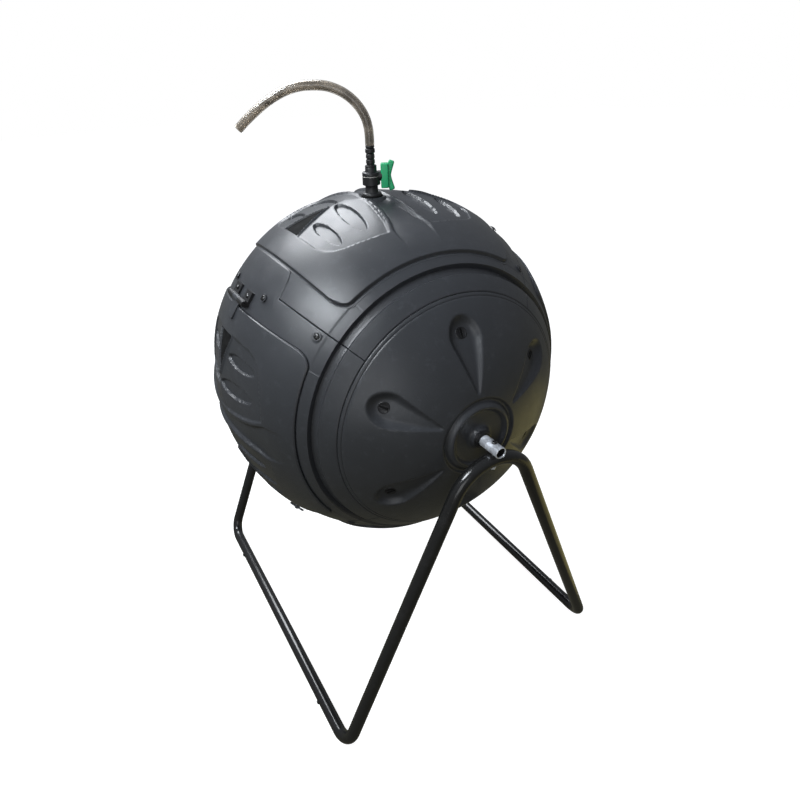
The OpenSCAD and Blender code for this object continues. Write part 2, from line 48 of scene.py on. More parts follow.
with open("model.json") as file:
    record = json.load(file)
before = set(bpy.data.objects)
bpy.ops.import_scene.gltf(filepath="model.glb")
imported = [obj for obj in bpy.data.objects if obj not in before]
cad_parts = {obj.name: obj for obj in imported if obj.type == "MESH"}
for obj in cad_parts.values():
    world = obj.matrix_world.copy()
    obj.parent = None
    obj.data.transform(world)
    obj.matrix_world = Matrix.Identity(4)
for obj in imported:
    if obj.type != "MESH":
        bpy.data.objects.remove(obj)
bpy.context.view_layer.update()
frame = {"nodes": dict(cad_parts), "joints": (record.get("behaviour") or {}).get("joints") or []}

JOINTS = {joint["name"]: joint for joint in frame["joints"]}

# Main sizes, read from the frame
AXLE_Z = JOINTS["drum_turn"]["pos_m"][2]
BALL_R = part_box("right_end_cap")[1].x
CAP_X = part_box("top_panel")[1].x
FIELD_R = AXLE_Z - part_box("bottom_panel")[0].z
TUBE_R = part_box("front_base_rail")[1].z / 2
FOOT_Y = -(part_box("front_base_rail")[0].y + TUBE_R)
AXLE_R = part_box("axle")[1].z - AXLE_Z
AXLE_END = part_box("axle")[1].x
VALVE = Vector((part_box("valve_gasket")[0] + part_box("valve_gasket")[1])) / 2
VALVE.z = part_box("valve_gasket")[0].z
HOSE_EXIT = (VALVE.x, VALVE.y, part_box("valve_barb")[1].z)
SPINDLE_Z = JOINTS["valve_turn"]["pos_m"][2]

# Angles round the axle, in degrees: 0 is the top, and they grow towards the door
DRUM_TURN = 2.0
PANELS = ("top_panel", "front_panel", "bottom_panel", "back_panel")
PANEL_MIDDLES = {name: DRUM_TURN + 90.0 * k for k, name in enumerate(PANELS)}
SEAM_ANGLE = 45.0
SCREW_ANGLE = 2.4
SCREW_XS = (-0.195, -0.070, 0.070, 0.195)
VENT_R = 0.184
FIELD_X = 0.205
FIELD_ANGLE = 36.0
OPEN_X = 0.191
OPEN_ANGLE = 33.7
GROOVE_X = 0.231
SPINDLE_ANGLE = 60.0


# ---- Sizes and colours that a user would change ----


def length(name, default, description):
    """A length property in metres."""
    return FloatProperty(
        name=name, description=description, default=default, min=0.0, unit="LENGTH", precision=4
    )


def tint(name, default, description):
    """A colour property."""
    return FloatVectorProperty(
        name=name, description=description, default=default, size=3, min=0.0, max=1.0, subtype="COLOR"
    )


class DrumSizes(bpy.types.PropertyGroup):
    """Sizes of the moulded drum."""

    ball_r: length("Ball radius", BALL_R, "Radius of the ball that the panels and caps form")
    wall: length("Wall", 0.004, "Thickness of the moulded wall")
    field_rise: length("Field rise", FIELD_R - BALL_R, "Height of the raised field on a panel")
    field_corner: length("Field corner", 0.027, "Corner radius of the raised field")
    oval_depth: length("Oval depth", 0.0050, "Depth of the pressed ovals")
    notch_depth: length("Notch depth", 0.024, "Depth of the notch between two petals")
    channel_depth: length("Channel depth", 0.0065, "Depth of the hollow along the middle of a field")
    groove_w: length("Groove width", 0.0130, "Width of the clamping groove")
    groove_d: length("Groove depth", 0.0095, "Depth of the clamping groove")
    dimple_depth: length("Dimple depth", 0.0118, "Depth of the teardrop hollows in the caps")


class StandSizes(bpy.types.PropertyGroup):
    """Sizes of the stand."""

    tube_r: length("Tube radius", TUBE_R, "Outside radius of the stand tube")
    arch_bend_r: length("Arch bend", 0.085, "Bend radius of the arch, at the tube's centre line")
    corner_bend_r: length("Corner bend", 0.042, "Bend radius of the bottom corners")
    foot_x: length("Foot distance", 0.375, "Distance from the middle to the foot of each frame")
    arch_x: length("Arch distance", 0.385, "Distance from the middle to the top of each frame")


class HoseSizes(bpy.types.PropertyGroup):
    """Sizes of the clear hose."""

    outside: length("Outside diameter", 0.016, "Outside diameter of the hose")
    bore: length("Bore", 0.012, "Bore of the hose")


class Finishes(bpy.types.PropertyGroup):
    """Colours of the materials."""

    drum: tint("Drum", (0.030, 0.032, 0.036), "Charcoal moulded plastic")
    paint: tint("Paint", (0.010, 0.010, 0.010), "Black powder coat")
    zinc: tint("Zinc", (0.74, 0.77, 0.82), "Galvanised steel")
    nylon: tint("Nylon", (0.009, 0.009, 0.010), "Black nylon fittings")
    green: tint("Green", (0.013, 0.36, 0.14), "Green handle plastic")
    vinyl: tint("Vinyl", (0.46, 0.42, 0.365), "Clear vinyl")


# ---- Mesh helpers ----


def ease(t):
    """Smooth step: 0 below 0, 1 above 1, and 3t^2 - 2t^3 between."""
    t = np.clip(t, 0.0, 1.0)
    return t * t * (3.0 - 2.0 * t)


def stations(*spans):
    """Positions from zero outwards, mirrored: each span is (its end, the step inside it)."""
    places, start = [np.zeros(1)], 0.0
    for end, step in spans:
        count = max(1, int(math.ceil((end - start) / step)))
        places.append(np.linspace(start, end, count + 1)[1:])
        start = end
    half = np.concatenate(places)
    return np.concatenate([-half[:0:-1], half])


def grid_quads(rows, columns, wrap_rows=False, wrap_columns=False):
    """Quads of a grid of rows x columns points, row by row, that may close on itself."""
    index = np.arange(rows * columns).reshape(rows, columns)
    if wrap_rows:
        index = np.vstack([index, index[:1]])
    if wrap_columns:
        index = np.hstack([index, index[:, :1]])
    return np.stack([index[:-1, :-1], index[1:, :-1], index[1:, 1:], index[:-1, 1:]], -1).reshape(-1, 4)


def closed_mesh(name, points, faces, sharp):
    """A mesh from points and faces: doubles merged, normals outwards, smooth up to a sharp angle."""
    mesh = bpy.data.meshes.new(name)
    mesh.from_pydata(np.asarray(points).reshape(-1, 3).tolist(), [], np.asarray(faces).tolist())
    work = bmesh.new()
    work.from_mesh(mesh)
    bmesh.ops.remove_doubles(work, verts=work.verts, dist=1e-6)
    bmesh.ops.recalc_face_normals(work, faces=work.faces)
    work.to_mesh(mesh)
    work.free()
    mesh.shade_smooth()
    mesh.set_sharp_from_angle(angle=math.radians(sharp))
    return mesh


def add_piece(name, solid, body, slot, *replaces, coat=None, sharp=40.0):
    """Makes (points, faces) a piece: the body it rides on, its slot, and the nodes it replaces.

    Its finish is the slot's own, unless another coat is named."""
    mesh = closed_mesh(name, *solid, sharp)
    piece = bpy.data.objects.new(name, mesh)
    bpy.context.scene.collection.objects.link(piece)
    mesh.materials.append(finish(coat or COATS[slot]))
    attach(piece, body)
    if replaces:
        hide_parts(*replaces)
    return piece


def shell(outer, inner, keep=None, wrap_columns=False):
    """A closed wall between two grids of points: both skins, and a strip along every free edge.

    keep says which cells of the grid are there; the free edges are those with one kept cell."""
    rows, columns = outer.shape[:2]
    quads = grid_quads(rows, columns, wrap_columns=wrap_columns)
    if keep is not None:
        quads = quads[keep.ravel()]
    count = rows * columns
    start = quads.ravel()
    end = np.roll(quads, -1, axis=1).ravel()
    free = ~np.isin(start * count + end, end * count + start)
    rim = np.stack([end[free], start[free], start[free] + count, end[free] + count], -1)
    faces = np.concatenate([quads, quads[:, ::-1] + count, rim])
    used, faces = np.unique(faces, return_inverse=True)
    points = np.concatenate([outer.reshape(-1, 3), inner.reshape(-1, 3)])[used]
    return points, faces.reshape(-1, 4)


def on_ball(x, phi, radius):
    """Points at a radius from the drum's middle, at latitude asin(x / ball radius) and angle phi.

    Point = middle + radius * (sin lat, -sin phi * cos lat, cos phi * cos lat)."""
    latitude = np.arcsin(np.clip(x / BALL_R, -1.0, 1.0))
    around = np.radians(phi)
    return np.stack(
        [
            radius * np.sin(latitude),
            -radius * np.sin(around) * np.cos(latitude),
            AXLE_Z + radius * np.cos(around) * np.cos(latitude),
        ],
        -1,
    )


def ball_frame(x, phi, radius):
    """Matrix of a place on the drum: local Z straight out, local X along the axle's direction."""
    latitude = math.asin(x / BALL_R)
    return (
        Matrix.Translation((0.0, 0.0, AXLE_Z))
        @ Matrix.Rotation(math.radians(phi), 4, "X")
        @ Matrix.Rotation(latitude, 4, "Y")
        @ Matrix.Translation((0.0, 0.0, radius))
    )


def hinge_frame(phi):
    """Matrix of the drum's middle turned to an angle: local X along the axle, local Z out."""
    return Matrix.Translation((0.0, 0.0, AXLE_Z)) @ Matrix.Rotation(math.radians(phi), 4, "X")


def axis_frame(origin, direction):
    """Matrix whose local Z lies along a direction."""
    turn = Vector(direction).to_track_quat("Z", "Y").to_matrix().to_4x4()
    return Matrix.Translation(origin) @ turn


def placed(points, faces, matrices):
    """One copy of points and faces for each matrix, in one list."""
    points, faces = np.asarray(points).reshape(-1, 3), np.asarray(faces)
    stack = np.array([np.array(m) for m in matrices])
    moved = np.einsum("kij,nj->kni", stack[:, :3, :3], points) + stack[:, None, :3, 3]
    shift = np.arange(len(matrices))[:, None, None] * len(points)
    return moved.reshape(-1, 3), (faces[None] + shift).reshape(-1, faces.shape[1])


def joined(*parts):
    """Several (points, quads) lists as one."""
    points, faces, count = [], [], 0
    for some_points, some_faces in parts:
        points.append(np.asarray(some_points).reshape(-1, 3))
        faces.append(np.asarray(some_faces) + count)
        count += len(points[-1])
    return np.concatenate(points), np.concatenate(faces)


def turned(profile, sides, ring=False):
    """A profile of (height, radius) points carried round local Z.

    Point = (radius * cos a, radius * sin a, height); ring joins the last point to the first."""
    profile = np.asarray(profile, float)
    angle = np.linspace(0.0, 2.0 * math.pi, sides, endpoint=False)
    points = np.stack(
        [
            profile[:, 1:] * np.cos(angle),
            profile[:, 1:] * np.sin(angle),
            np.broadcast_to(profile[:, :1], (len(profile), sides)),
        ],
        -1,
    )
    return points.reshape(-1, 3), grid_quads(len(profile), sides, wrap_rows=ring, wrap_columns=True)


def lathed(profile, sides, places, ring=True):
    """A profile carried round local Z, once at each place."""
    return placed(*turned(profile, sides, ring), places)


def path_frames(path, along=None):
    """Two directions square to a path at each of its points, carried along it without twist."""
    along = np.gradient(path, axis=0) if along is None else np.array(along)
    along[0], along[-1] = path[1] - path[0], path[-1] - path[-2]
    still = np.linalg.norm(along, axis=1) < 1e-9
    along[still] = along[np.flatnonzero(~still)[0]]
    along /= np.linalg.norm(along, axis=1)[:, None]
    side = np.zeros_like(path)
    guess = np.cross(along[0], (0.0, 0.0, 1.0))
    if np.linalg.norm(guess) < 1e-3:
        guess = np.cross(along[0], (1.0, 0.0, 0.0))
    for i in range(len(path)):
        guess = guess - along[i] * (guess @ along[i])
        guess = guess / np.linalg.norm(guess)
        side[i] = guess
    return side, np.cross(along, side)


def path_rings(path, radii, sides, along=None):
    """Circles round a path: point = path + radius * (cos a * side + sin a * up)."""
    path, radii = np.asarray(path, float), np.asarray(radii, float)
    side, up = path_frames(path, along)
    angle = np.linspace(0.0, 2.0 * math.pi, sides, endpoint=False)[:, None]
    circle = side[:, None] * np.cos(angle) + up[:, None] * np.sin(angle)
    return path[:, None] + radii[:, None, None] * circle


def swept(path, radii, along, sides=40):
    """Circles carried along a path, one radius for each point; radius 0 closes an end."""
    rings = path_rings(path, radii, sides, along)
    return rings.reshape(-1, 3), grid_quads(len(rings), sides, wrap_columns=True)


def smooth_path(points, per_span=8):
    """A smooth curve through points: on each span, the cubic whose slopes join its neighbours.

    p(t) = (2b + (c - a)t + (2a - 5b + 4c - d)t^2 + (3b - a - 3c + d)t^3) / 2."""
    points = np.asarray(points, float)
    full = np.vstack([2 * points[0] - points[1], points, 2 * points[-1] - points[-2]])
    a, b, c, d = (full[i : len(full) - 3 + i][:, None] for i in range(4))
    t = (np.arange(per_span) / per_span)[None, :, None]
    square, cube = 2 * a - 5 * b + 4 * c - d, 3 * b - a - 3 * c + d
    spans = (2 * b + (c - a) * t + square * t**2 + cube * t**3) / 2
    return np.vstack([spans.reshape(-1, 3), points[-1:]])


def block(half, edge, steps=3):
    """A box with rounded edges: a cube grid pulled onto a smaller box and pushed out by the edge radius.

    Point = nearest point of the inner box + edge radius * unit vector towards the cube point."""
    inner = np.asarray(half, float) - edge
    # The inner box takes this share of each half side, and the rounded edge the rest
    share = 0.72
    t = np.concatenate([np.linspace(-1, -share, steps + 1), np.linspace(share, 1, steps + 1)])
    grid_u, grid_v = np.meshgrid(t, t, indexing="ij")
    parts = []
    for axis in range(3):
        for sign in (-1.0, 1.0):
            cube = np.zeros(grid_u.shape + (3,))
            cube[..., axis] = sign
            cube[..., (axis + 1) % 3], cube[..., (axis + 2) % 3] = grid_u, grid_v
            core = np.clip(cube, -share, share) / share * inner
            out = (cube - np.clip(cube, -share, share)) / (1.0 - share)
            out = np.where(np.linalg.norm(out, axis=-1, keepdims=True) > 0, out, 1e-9)
            out = out / np.linalg.norm(out, axis=-1, keepdims=True)
            parts.append((core + edge * out, grid_quads(*grid_u.shape)))
    return joined(*parts)


# ---- Materials ----


def new_material(name):
    """A material with nodes; returns it, its node tree and its Principled shader."""
    material = bpy.data.materials.new(name)
    material.use_nodes = True
    tree = material.node_tree
    shader = next(node for node in tree.nodes if node.type == "BSDF_PRINCIPLED")
    return material, tree, shader


def noise(tree, scale, detail=3.0, roughness=0.5, stretch=(1.0, 1.0, 1.0)):
    """A noise pattern on Object coordinates: the output that varies round 0.5."""
    place = tree.nodes.new("ShaderNodeTexCoord")
    mapping = tree.nodes.new("ShaderNodeMapping")
    mapping.inputs["Scale"].default_value = stretch
    texture = tree.nodes.new("ShaderNodeTexNoise")
    texture.inputs["Scale"].default_value = scale
    texture.inputs["Detail"].default_value = detail
    texture.inputs["Roughness"].default_value = roughness
    tree.links.new(place.outputs["Object"], mapping.inputs["Vector"])
    tree.links.new(mapping.outputs["Vector"], texture.inputs["Vector"])
    return texture.outputs["Fac"]


def spread(tree, value, from_low, from_high, to_low, to_high):
    """A value mapped from one range to another, kept inside it."""
    node = tree.nodes.new("ShaderNodeMapRange")
    for name, number in zip(
        ("From Min", "From Max", "To Min", "To Max"), (from_low, from_high, to_low, to_high)
    ):
        node.inputs[name].default_value = number
    tree.links.new(value, node.inputs["Value"])
    return node.outputs["Result"]


def blend_colours(tree, factor, first, second):
    """The first colour where the factor is 0, the second where it is 1."""
    node = tree.nodes.new("ShaderNodeMix")
    node.data_type = "RGBA"
    tree.links.new(factor, node.inputs["Factor"])
    for name, colour in (("A", first), ("B", second)):
        socket = [s for s in node.inputs if s.name == name and s.type == "RGBA"][0]
        if isinstance(colour, bpy.types.NodeSocket):
            tree.links.new(colour, socket)
        else:
            socket.default_value = (*colour, 1.0)
    return [s for s in node.outputs if s.type == "RGBA"][0]


def bumps(tree, shader, *layers):
    """Chained bumps: each layer is (height, strength, depth in metres)."""
    normal = None
    for height, strength, depth in layers:
        node = tree.nodes.new("ShaderNodeBump")
        node.inputs["Strength"].default_value = strength
        node.inputs["Distance"].default_value = depth
        tree.links.new(height, node.inputs["Height"])
        if normal is not None:
            tree.links.new(normal, node.inputs["Normal"])
        normal = node.outputs["Normal"]
    tree.links.new(normal, shader.inputs["Normal"])


def shade(colour, factor):
    """A colour made lighter or darker."""
    return tuple(min(1.0, channel * factor) for channel in colour)


def tones(tree, shader, factor, first, second):
    """Base colour: the first where the factor is 0, the second where it is 1."""
    tree.links.new(blend_colours(tree, factor, first, second), shader.inputs["Base Color"])


def gloss(tree, shader, pattern, low, high, smooth, rough):
    """Roughness: smooth where the pattern is low, rough where it is high."""
    tree.links.new(spread(tree, pattern, low, high, smooth, rough), shader.inputs["Roughness"])


def moulded_plastic(name, colour, rough, grain, scuff):
    """Moulded plastic: fine grain, slow colour drift, and pale rubbed patches.

    grain is the depth of the grain in metres; scuff is how much lighter the rubbed patches are."""
    material, tree, shader = new_material(name)
    drift = spread(tree, noise(tree, 6.0, 4.0), 0.35, 0.65, 0.0, 1.0)
    base = blend_colours(tree, drift, shade(colour, 0.9), shade(colour, 1.12))
    rubbed = spread(tree, noise(tree, 55.0, 6.0, 0.72), 0.56, 0.74, 0.0, 0.55)
    tones(tree, shader, rubbed, base, shade(colour, scuff))
    gloss(tree, shader, noise(tree, 28.0, 5.0, 0.6), 0.3, 0.7, rough - 0.035, rough + 0.055)
    bumps(tree, shader, (noise(tree, 9.0, 2.0), 0.35, 0.004), (noise(tree, 850.0, 2.0), 0.5, grain))
    return material


def powder_coat(name, colour):
    """Gloss black powder coat: a slow orange peel under a hard gloss, dusty in patches."""
    material, tree, shader = new_material(name)
    dust = spread(tree, noise(tree, 30.0, 6.0, 0.7), 0.55, 0.8, 0.0, 0.5)
    tones(tree, shader, dust, colour, shade(colour, 3.0))
    gloss(tree, shader, noise(tree, 40.0, 4.0), 0.3, 0.7, 0.14, 0.25)
    bumps(tree, shader, (noise(tree, 260.0, 2.0), 0.3, 0.0004))
    return material


def galvanised(name, colour):
    """Galvanised steel: crystal spangle in colour and roughness, with fine drawing lines."""
    material, tree, shader = new_material(name)
    place = tree.nodes.new("ShaderNodeTexCoord")
    cells = tree.nodes.new("ShaderNodeTexVoronoi")
    cells.inputs["Scale"].default_value = 140.0
    tree.links.new(place.outputs["Object"], cells.inputs["Vector"])
    grey = tree.nodes.new("ShaderNodeRGBToBW")
    tree.links.new(cells.outputs["Color"], grey.inputs["Color"])
    spangle = spread(tree, grey.outputs["Val"], 0.2, 0.8, 0.0, 1.0)
    tones(tree, shader, spangle, shade(colour, 0.82), shade(colour, 1.1))
    gloss(tree, shader, grey.outputs["Val"], 0.2, 0.8, 0.28, 0.46)
    shader.inputs["Metallic"].default_value = 0.65
    bumps(tree, shader, (noise(tree, 500.0, 2.0, stretch=(0.1, 1.0, 1.0)), 0.15, 0.0002))
    return material


def soft_rubber(name):
    """Matt black rubber with a dusty bloom."""
    material, tree, shader = new_material(name)
    bloom = spread(tree, noise(tree, 90.0, 5.0), 0.45, 0.75, 0.0, 1.0)
    tones(tree, shader, bloom, (0.004, 0.004, 0.004), (0.012, 0.012, 0.012))
    shader.inputs["Roughness"].default_value = 0.85
    shader.inputs["Specular IOR Level"].default_value = 0.12
    bumps(tree, shader, (noise(tree, 1500.0, 2.0), 0.3, 0.0003))
    return material


def clear_vinyl(name, colour):
    """Clear vinyl hose: hazy and slightly yellow, with darker streaks along it."""
    material, tree, shader = new_material(name)
    film = spread(tree, noise(tree, 30.0, 5.0, stretch=(0.6, 0.6, 1.6)), 0.42, 0.58, 0.0, 1.0)
    tones(tree, shader, film, colour, shade(colour, 0.55))
    gloss(tree, shader, noise(tree, 70.0, 4.0), 0.3, 0.7, 0.08, 0.2)
    shader.inputs["Transmission Weight"].default_value = 0.82
    shader.inputs["IOR"].default_value = 1.5
    bumps(tree, shader, (noise(tree, 180.0, 2.0), 0.2, 0.0003))
    return material


def pale_seal(name):
    """Pale rubber that shows in a joint, slightly uneven."""
    material, tree, shader = new_material(name)
    tone = spread(tree, noise(tree, 200.0, 3.0), 0.35, 0.65, 0.0, 1.0)
    tones(tree, shader, tone, (0.40, 0.39, 0.36), (0.62, 0.60, 0.55))
    shader.inputs["Roughness"].default_value = 0.55
    return material


# The finish of each material slot; their names differ from the slots', which the frame already uses
COATS = {
    "drum_plastic": "charcoal_plastic",
    "black_paint": "powder_black",
    "zinc": "galvanised",
    "black_nylon": "satin_nylon",
    "rubber": "black_rubber",
    "green_plastic": "satin_green",
    "clear_vinyl": "hazy_vinyl",
}


def finish(name):
    """The material of that name, made the first time that it is asked for."""
    if name in bpy.data.materials:
        return bpy.data.materials[name]
    colours = bpy.context.scene.tumbler_finishes
    makers = {
        "charcoal_plastic": lambda: moulded_plastic(name, colours.drum, 0.35, 0.0005, 2.0),
        "satin_nylon": lambda: moulded_plastic(name, colours.nylon, 0.42, 0.00015, 1.4),
        "satin_green": lambda: moulded_plastic(name, colours.green, 0.38, 0.0001, 1.3),
        "powder_black": lambda: powder_coat(name, colours.paint),
        "galvanised": lambda: galvanised(name, colours.zinc),
        "black_rubber": lambda: soft_rubber(name),
        "pale_seal": lambda: pale_seal(name),
        "hazy_vinyl": lambda: clear_vinyl(name, colours.vinyl),
    }
    return makers[name]()


# ---- Drum surface ----


def rounded_box_distance(x, y, half_x, half_y, corner):
    """Distance outside a rounded rectangle, negative inside it."""
    qx, qy = np.abs(x) - half_x + corner, np.abs(y) - half_y + corner
    outside = np.hypot(np.maximum(qx, 0.0), np.maximum(qy, 0.0))
    return outside + np.minimum(np.maximum(qx, qy), 0.0) - corner


def field_outside(x, y, sizes):
    """Distance outside the outline of a raised field, negative inside it."""
    half_y = math.radians(FIELD_ANGLE) * sizes.ball_r
    return rounded_box_distance(x, y, FIELD_X, half_y, sizes.field_corner)


def outline_distance(x, y, outline):
    """Distance outside a closed outline, negative inside: nearest side, signed by crossings."""
    nearest = np.full(np.shape(x), 1e9)
    inside = np.zeros(np.shape(x), bool)
    for (ax, ay), (bx, by) in zip(outline, np.roll(outline, -1, axis=0)):
        ex, ey = bx - ax, by - ay
        t = np.clip(((x - ax) * ex + (y - ay) * ey) / (ex * ex + ey * ey), 0.0, 1.0)
        nearest = np.minimum(nearest, np.hypot(x - ax - t * ex, y - ay - t * ey))
        crosses = ((ay > y) != (by > y)) & (x < ex * (y - ay) / (ey if ey else 1e-12) + ax)
        inside ^= crosses
    return np.where(inside, -nearest, nearest)


def oval_distance(x, y, centre, half_x, half_y, tilt):
    """Distance outside an ellipse, nearly: (k - 1) over the steepness of k."""
    c, s = math.cos(math.radians(tilt)), math.sin(math.radians(tilt))
    px, py = x - centre[0], y - centre[1]
    u, v = px * c + py * s, -px * s + py * c
    k = np.hypot(u / half_x, v / half_y) + 1e-9
    steep = np.hypot(u / half_x**2, v / half_y**2) / k + 1e-6
    return (k - 1.0) / steep


# One quarter of the pattern on a field: x is the distance from its middle along
# the axle, y the distance round the drum
PETAL = np.array(
    [
        (-0.012, 0.0235),
        (0.020, 0.0245),
        (0.052, 0.0268),
        (0.084, 0.0305),
        (0.119, 0.0370),
        (0.144, 0.0465),
        (0.1405, 0.0800),
        (0.1330, 0.1180),
        (0.1290, 0.1340),
        (0.1215, 0.1500),
        (0.1090, 0.1625),
        (0.0900, 0.1695),
        (0.0310, 0.1720),
        (0.0000, 0.0860),
        (-0.012, 0.0860),
    ]
)
PETAL_MIDDLE = (0.075, 0.095)
PETAL_REACH = 0.085
BIG_OVAL = ((0.058, 0.0735), 0.056, 0.0150, 3.0)
SMALL_OVAL = ((0.070, 0.1310), 0.044, 0.0130, 0.0)
NOTCH = np.array([(-0.029, 0.1695), (0.029, 0.1695), (0.0, 0.088)])
WALL_RUN = 0.0025


def pressed_pattern(x, y, sizes):
    """Height of the pressed pattern over the plain field, at (x, y) from its middle.

    Flat petals are sunk most at their middle; ovals, the notch between two petals and the
    hollow along the middle are sunk further, each with a wall WALL_RUN wide."""
    u, w = np.abs(x), np.abs(y)
    inner_edge = np.interp(u, PETAL[:6, 0], PETAL[:6, 1])
    petal = ease(-outline_distance(u, w, PETAL) / WALL_RUN)
    off = np.hypot(u - PETAL_MIDDLE[0], w - PETAL_MIDDLE[1]) / PETAL_REACH
    height = -petal * (0.0022 + 0.0042 * np.clip(1.0 - off * off, 0.0, 1.0))
    for centre, half_x, half_y, tilt in (BIG_OVAL, SMALL_OVAL):
        depth = ease(-oval_distance(u, w, centre, half_x, half_y, tilt) / 0.0018)
        height = height - sizes.oval_depth * depth
    notch = ease(-outline_distance(u, w, NOTCH) / 0.0045)
    fall = np.clip((w - 0.086) / 0.016, 0.0, 1.0)
    height = height - notch * fall * sizes.notch_depth
    # The hollow starts a bead's width inside the petals' inner edges and fades out beyond them
    bead = inner_edge - w - 0.0065
    fade = 1.0 - ease((u - 0.105) / 0.085)
    return height - sizes.channel_depth * ease(bead / 0.0050) * fade


def ball_height(x, phi, middle, sizes):
    """Height of a panel's outside over the ball: the clamping groove and the steps by its field."""
    y = np.radians(phi - middle) * sizes.ball_r
    across = np.abs(np.abs(x) - GROOVE_X * 0.9995)
    groove = ease((sizes.groove_w / 2 + 0.0012 - across) / 0.0024)
    height = -groove * sizes.groove_d
    # A low step runs from the field's corner to the groove
    flange = ease((np.abs(y) - 0.193) / 0.002) * ease((np.abs(x) - FIELD_X) / 0.004)
    flange = flange * (np.abs(x) < GROOVE_X)
    return height - 0.0005 * flange


def screw_bosses(x, phi, middle, sizes):
    """Height of the low round bosses under the seam screws, on a panel's upper edge."""
    y = np.radians(phi - middle) * sizes.ball_r
    boss_y = math.radians(SCREW_ANGLE - SEAM_ANGLE) * sizes.ball_r
    height = np.zeros_like(x)
    for screw_x in SCREW_XS:
        squeeze = math.cos(math.asin(screw_x / sizes.ball_r))
        away = np.hypot((x - screw_x) / squeeze, (y - boss_y) * squeeze)
        height = np.maximum(height, 0.0011 * ease((0.0092 - away) / 0.0018))
    return height


TAB_HALF = 0.090
TAB_SLOPE = 0.012
TAB_REACH = 0.0515
TAB_RISE = 0.0016


def tab_share(x):
    """1 across the tab at the middle of a panel's upper edge, 0 beyond it."""
    return np.clip((TAB_HALF + TAB_SLOPE - np.abs(x)) / TAB_SLOPE, 0.0, 1.0)


# Spans of a panel's grid from its middle outwards, each with its step: fine where the surface bends
PANEL_X = ((0.170, 0.0085), (0.2012, 0.0014), (0.2092, 0.0010), (0.2232, 0.0048),
           (0.2262, 0.0008), (0.2358, 0.0032), (0.2388, 0.0008), (0.2595, 0.0050), (0.262, 0.0008))
PANEL_Y = ((0.186, 0.0093), (0.2165, 0.0014), (0.2242, 0.0010), (0.2570, 0.0036), (0.2738, 0.0022),
           (0.27615, 0.0008))


def edge_fall(x, y, edge):
    """Rounding along a panel's free edges: the surface drops in the last 1.5 mm."""
    near = np.minimum(edge - np.abs(y), CAP_X - np.abs(x))
    return 0.0011 * (1.0 - ease(near / 0.0015)) ** 2


def panel_grid(middle, sizes):
    """x, phi and outside height of a whole panel; its upper edge follows the tab."""
    x, y = np.meshgrid(stations(*PANEL_X), stations(*PANEL_Y), indexing="ij")
    outside = field_outside(x, y, sizes)
    limit = PANEL_Y[-1][0]
    start = PANEL_Y[2][0]
    share = tab_share(x)
    stretch = 1.0 + share * TAB_REACH / (limit - start)
    y = np.where(y < -start, -start + (y + start) * stretch, y)
    edge = np.where(y < 0.0, limit + share * TAB_REACH, limit)
    phi = middle + np.degrees(y / sizes.ball_r)
    height = ball_height(x, phi, middle, sizes)
    tab = ease((np.abs(y) - limit + 0.022) / 0.020) * (y < 0.0)
    lift = TAB_RISE * tab * ease((TAB_HALF + TAB_SLOPE + 0.010 - np.abs(x)) / 0.010)
    height = height * np.where(y < -limit, 0.0, 1.0) + lift
    boss = screw_bosses(x, phi, middle, sizes)
    height = np.where(boss > 0.0, np.maximum(height, boss + lift), height)
    fall = edge_fall(x, y, edge)
    wall = np.where(y < -limit + 0.012, np.minimum(sizes.wall, sizes.wall - 0.0018 * tab), sizes.wall)
    under = height - wall
    under = np.where(y < -limit - 0.0005, np.maximum(under, 0.0004), under)
    # Under its field the panel drops back, and the field is a skin of its own
    sunk, reach = (0.0009, 0.0010) if middle == PANEL_MIDDLES["front_panel"] else (0.0060, 0.0030)
    height = np.where(outside < reach, np.minimum(height, -sunk), height)
    return x, phi, height - fall, np.minimum(under, height - 0.0025)


def field_grid(beyond, sizes):
    """x and y over the rounded rectangle of a field, grown by a margin.

    Rows get denser in the rounded corners, where each row is shortened to the outline."""
    half_x = FIELD_X + beyond
    half_y = math.radians(FIELD_ANGLE) * sizes.ball_r + beyond
    corner = sizes.field_corner + beyond
    bend = np.sin(np.radians(np.linspace(0.0, 90.0, 27)))
    straight = half_y - corner
    steps = np.concatenate([np.arange(0.0, straight - 0.001, 0.0020), straight + corner * bend])
    rows = np.concatenate([-steps[:0:-1], steps])
    columns = stations((0.150, 0.0020), (0.1990, 0.0049), (half_x, 0.0009)) / half_x
    t, y = np.meshgrid(columns, rows, indexing="ij")
    over = np.clip(np.abs(y) - straight, 0.0, corner)
    return t * (half_x - corner + np.sqrt(np.maximum(corner**2 - over**2, 0.0))), y


def field_skin(middle, sizes):
    """Outside and inside points of a moulded field: rise, pattern, a foot groove and a thin margin."""
    x, y = field_grid(0.0060, sizes)
    outside = field_outside(x, y, sizes)
    height = ease(-outside / 0.0024) * sizes.field_rise
    height = height + pressed_pattern(x, y, sizes) * ease(-outside / 0.010)
    height = height - 0.0013 * np.exp(-(((outside - 0.0008) / 0.0008) ** 2))
    height = height + 0.00025 * ease((outside - 0.0025) / 0.001)
    height = height - 0.0012 * ease((outside - 0.0050) / 0.001)
    phi = middle + np.degrees(y / sizes.ball_r)
    outer = on_ball(x, phi, sizes.ball_r + height)
    inner = on_ball(x, phi, sizes.ball_r + np.minimum(height - sizes.wall + 0.0005, -0.0035))
    return outer, inner


def valve_seat(points):
    """Points pulled onto the flat round seat under the valve, inside its radius."""
    away = np.hypot(points[..., 0] - VALVE.x, points[..., 1] - VALVE.y)
    share = ease((0.0255 - away) / 0.0028)[..., None]
    up = points - np.array([0.0, 0.0, AXLE_Z])
    level = (VALVE.z - AXLE_Z) / np.maximum(up[..., 2:], 1e-6)
    flat = np.array([0.0, 0.0, AXLE_Z]) + up * level
    return np.where(share > 0.0, points * (1.0 - share) + flat * share, points)


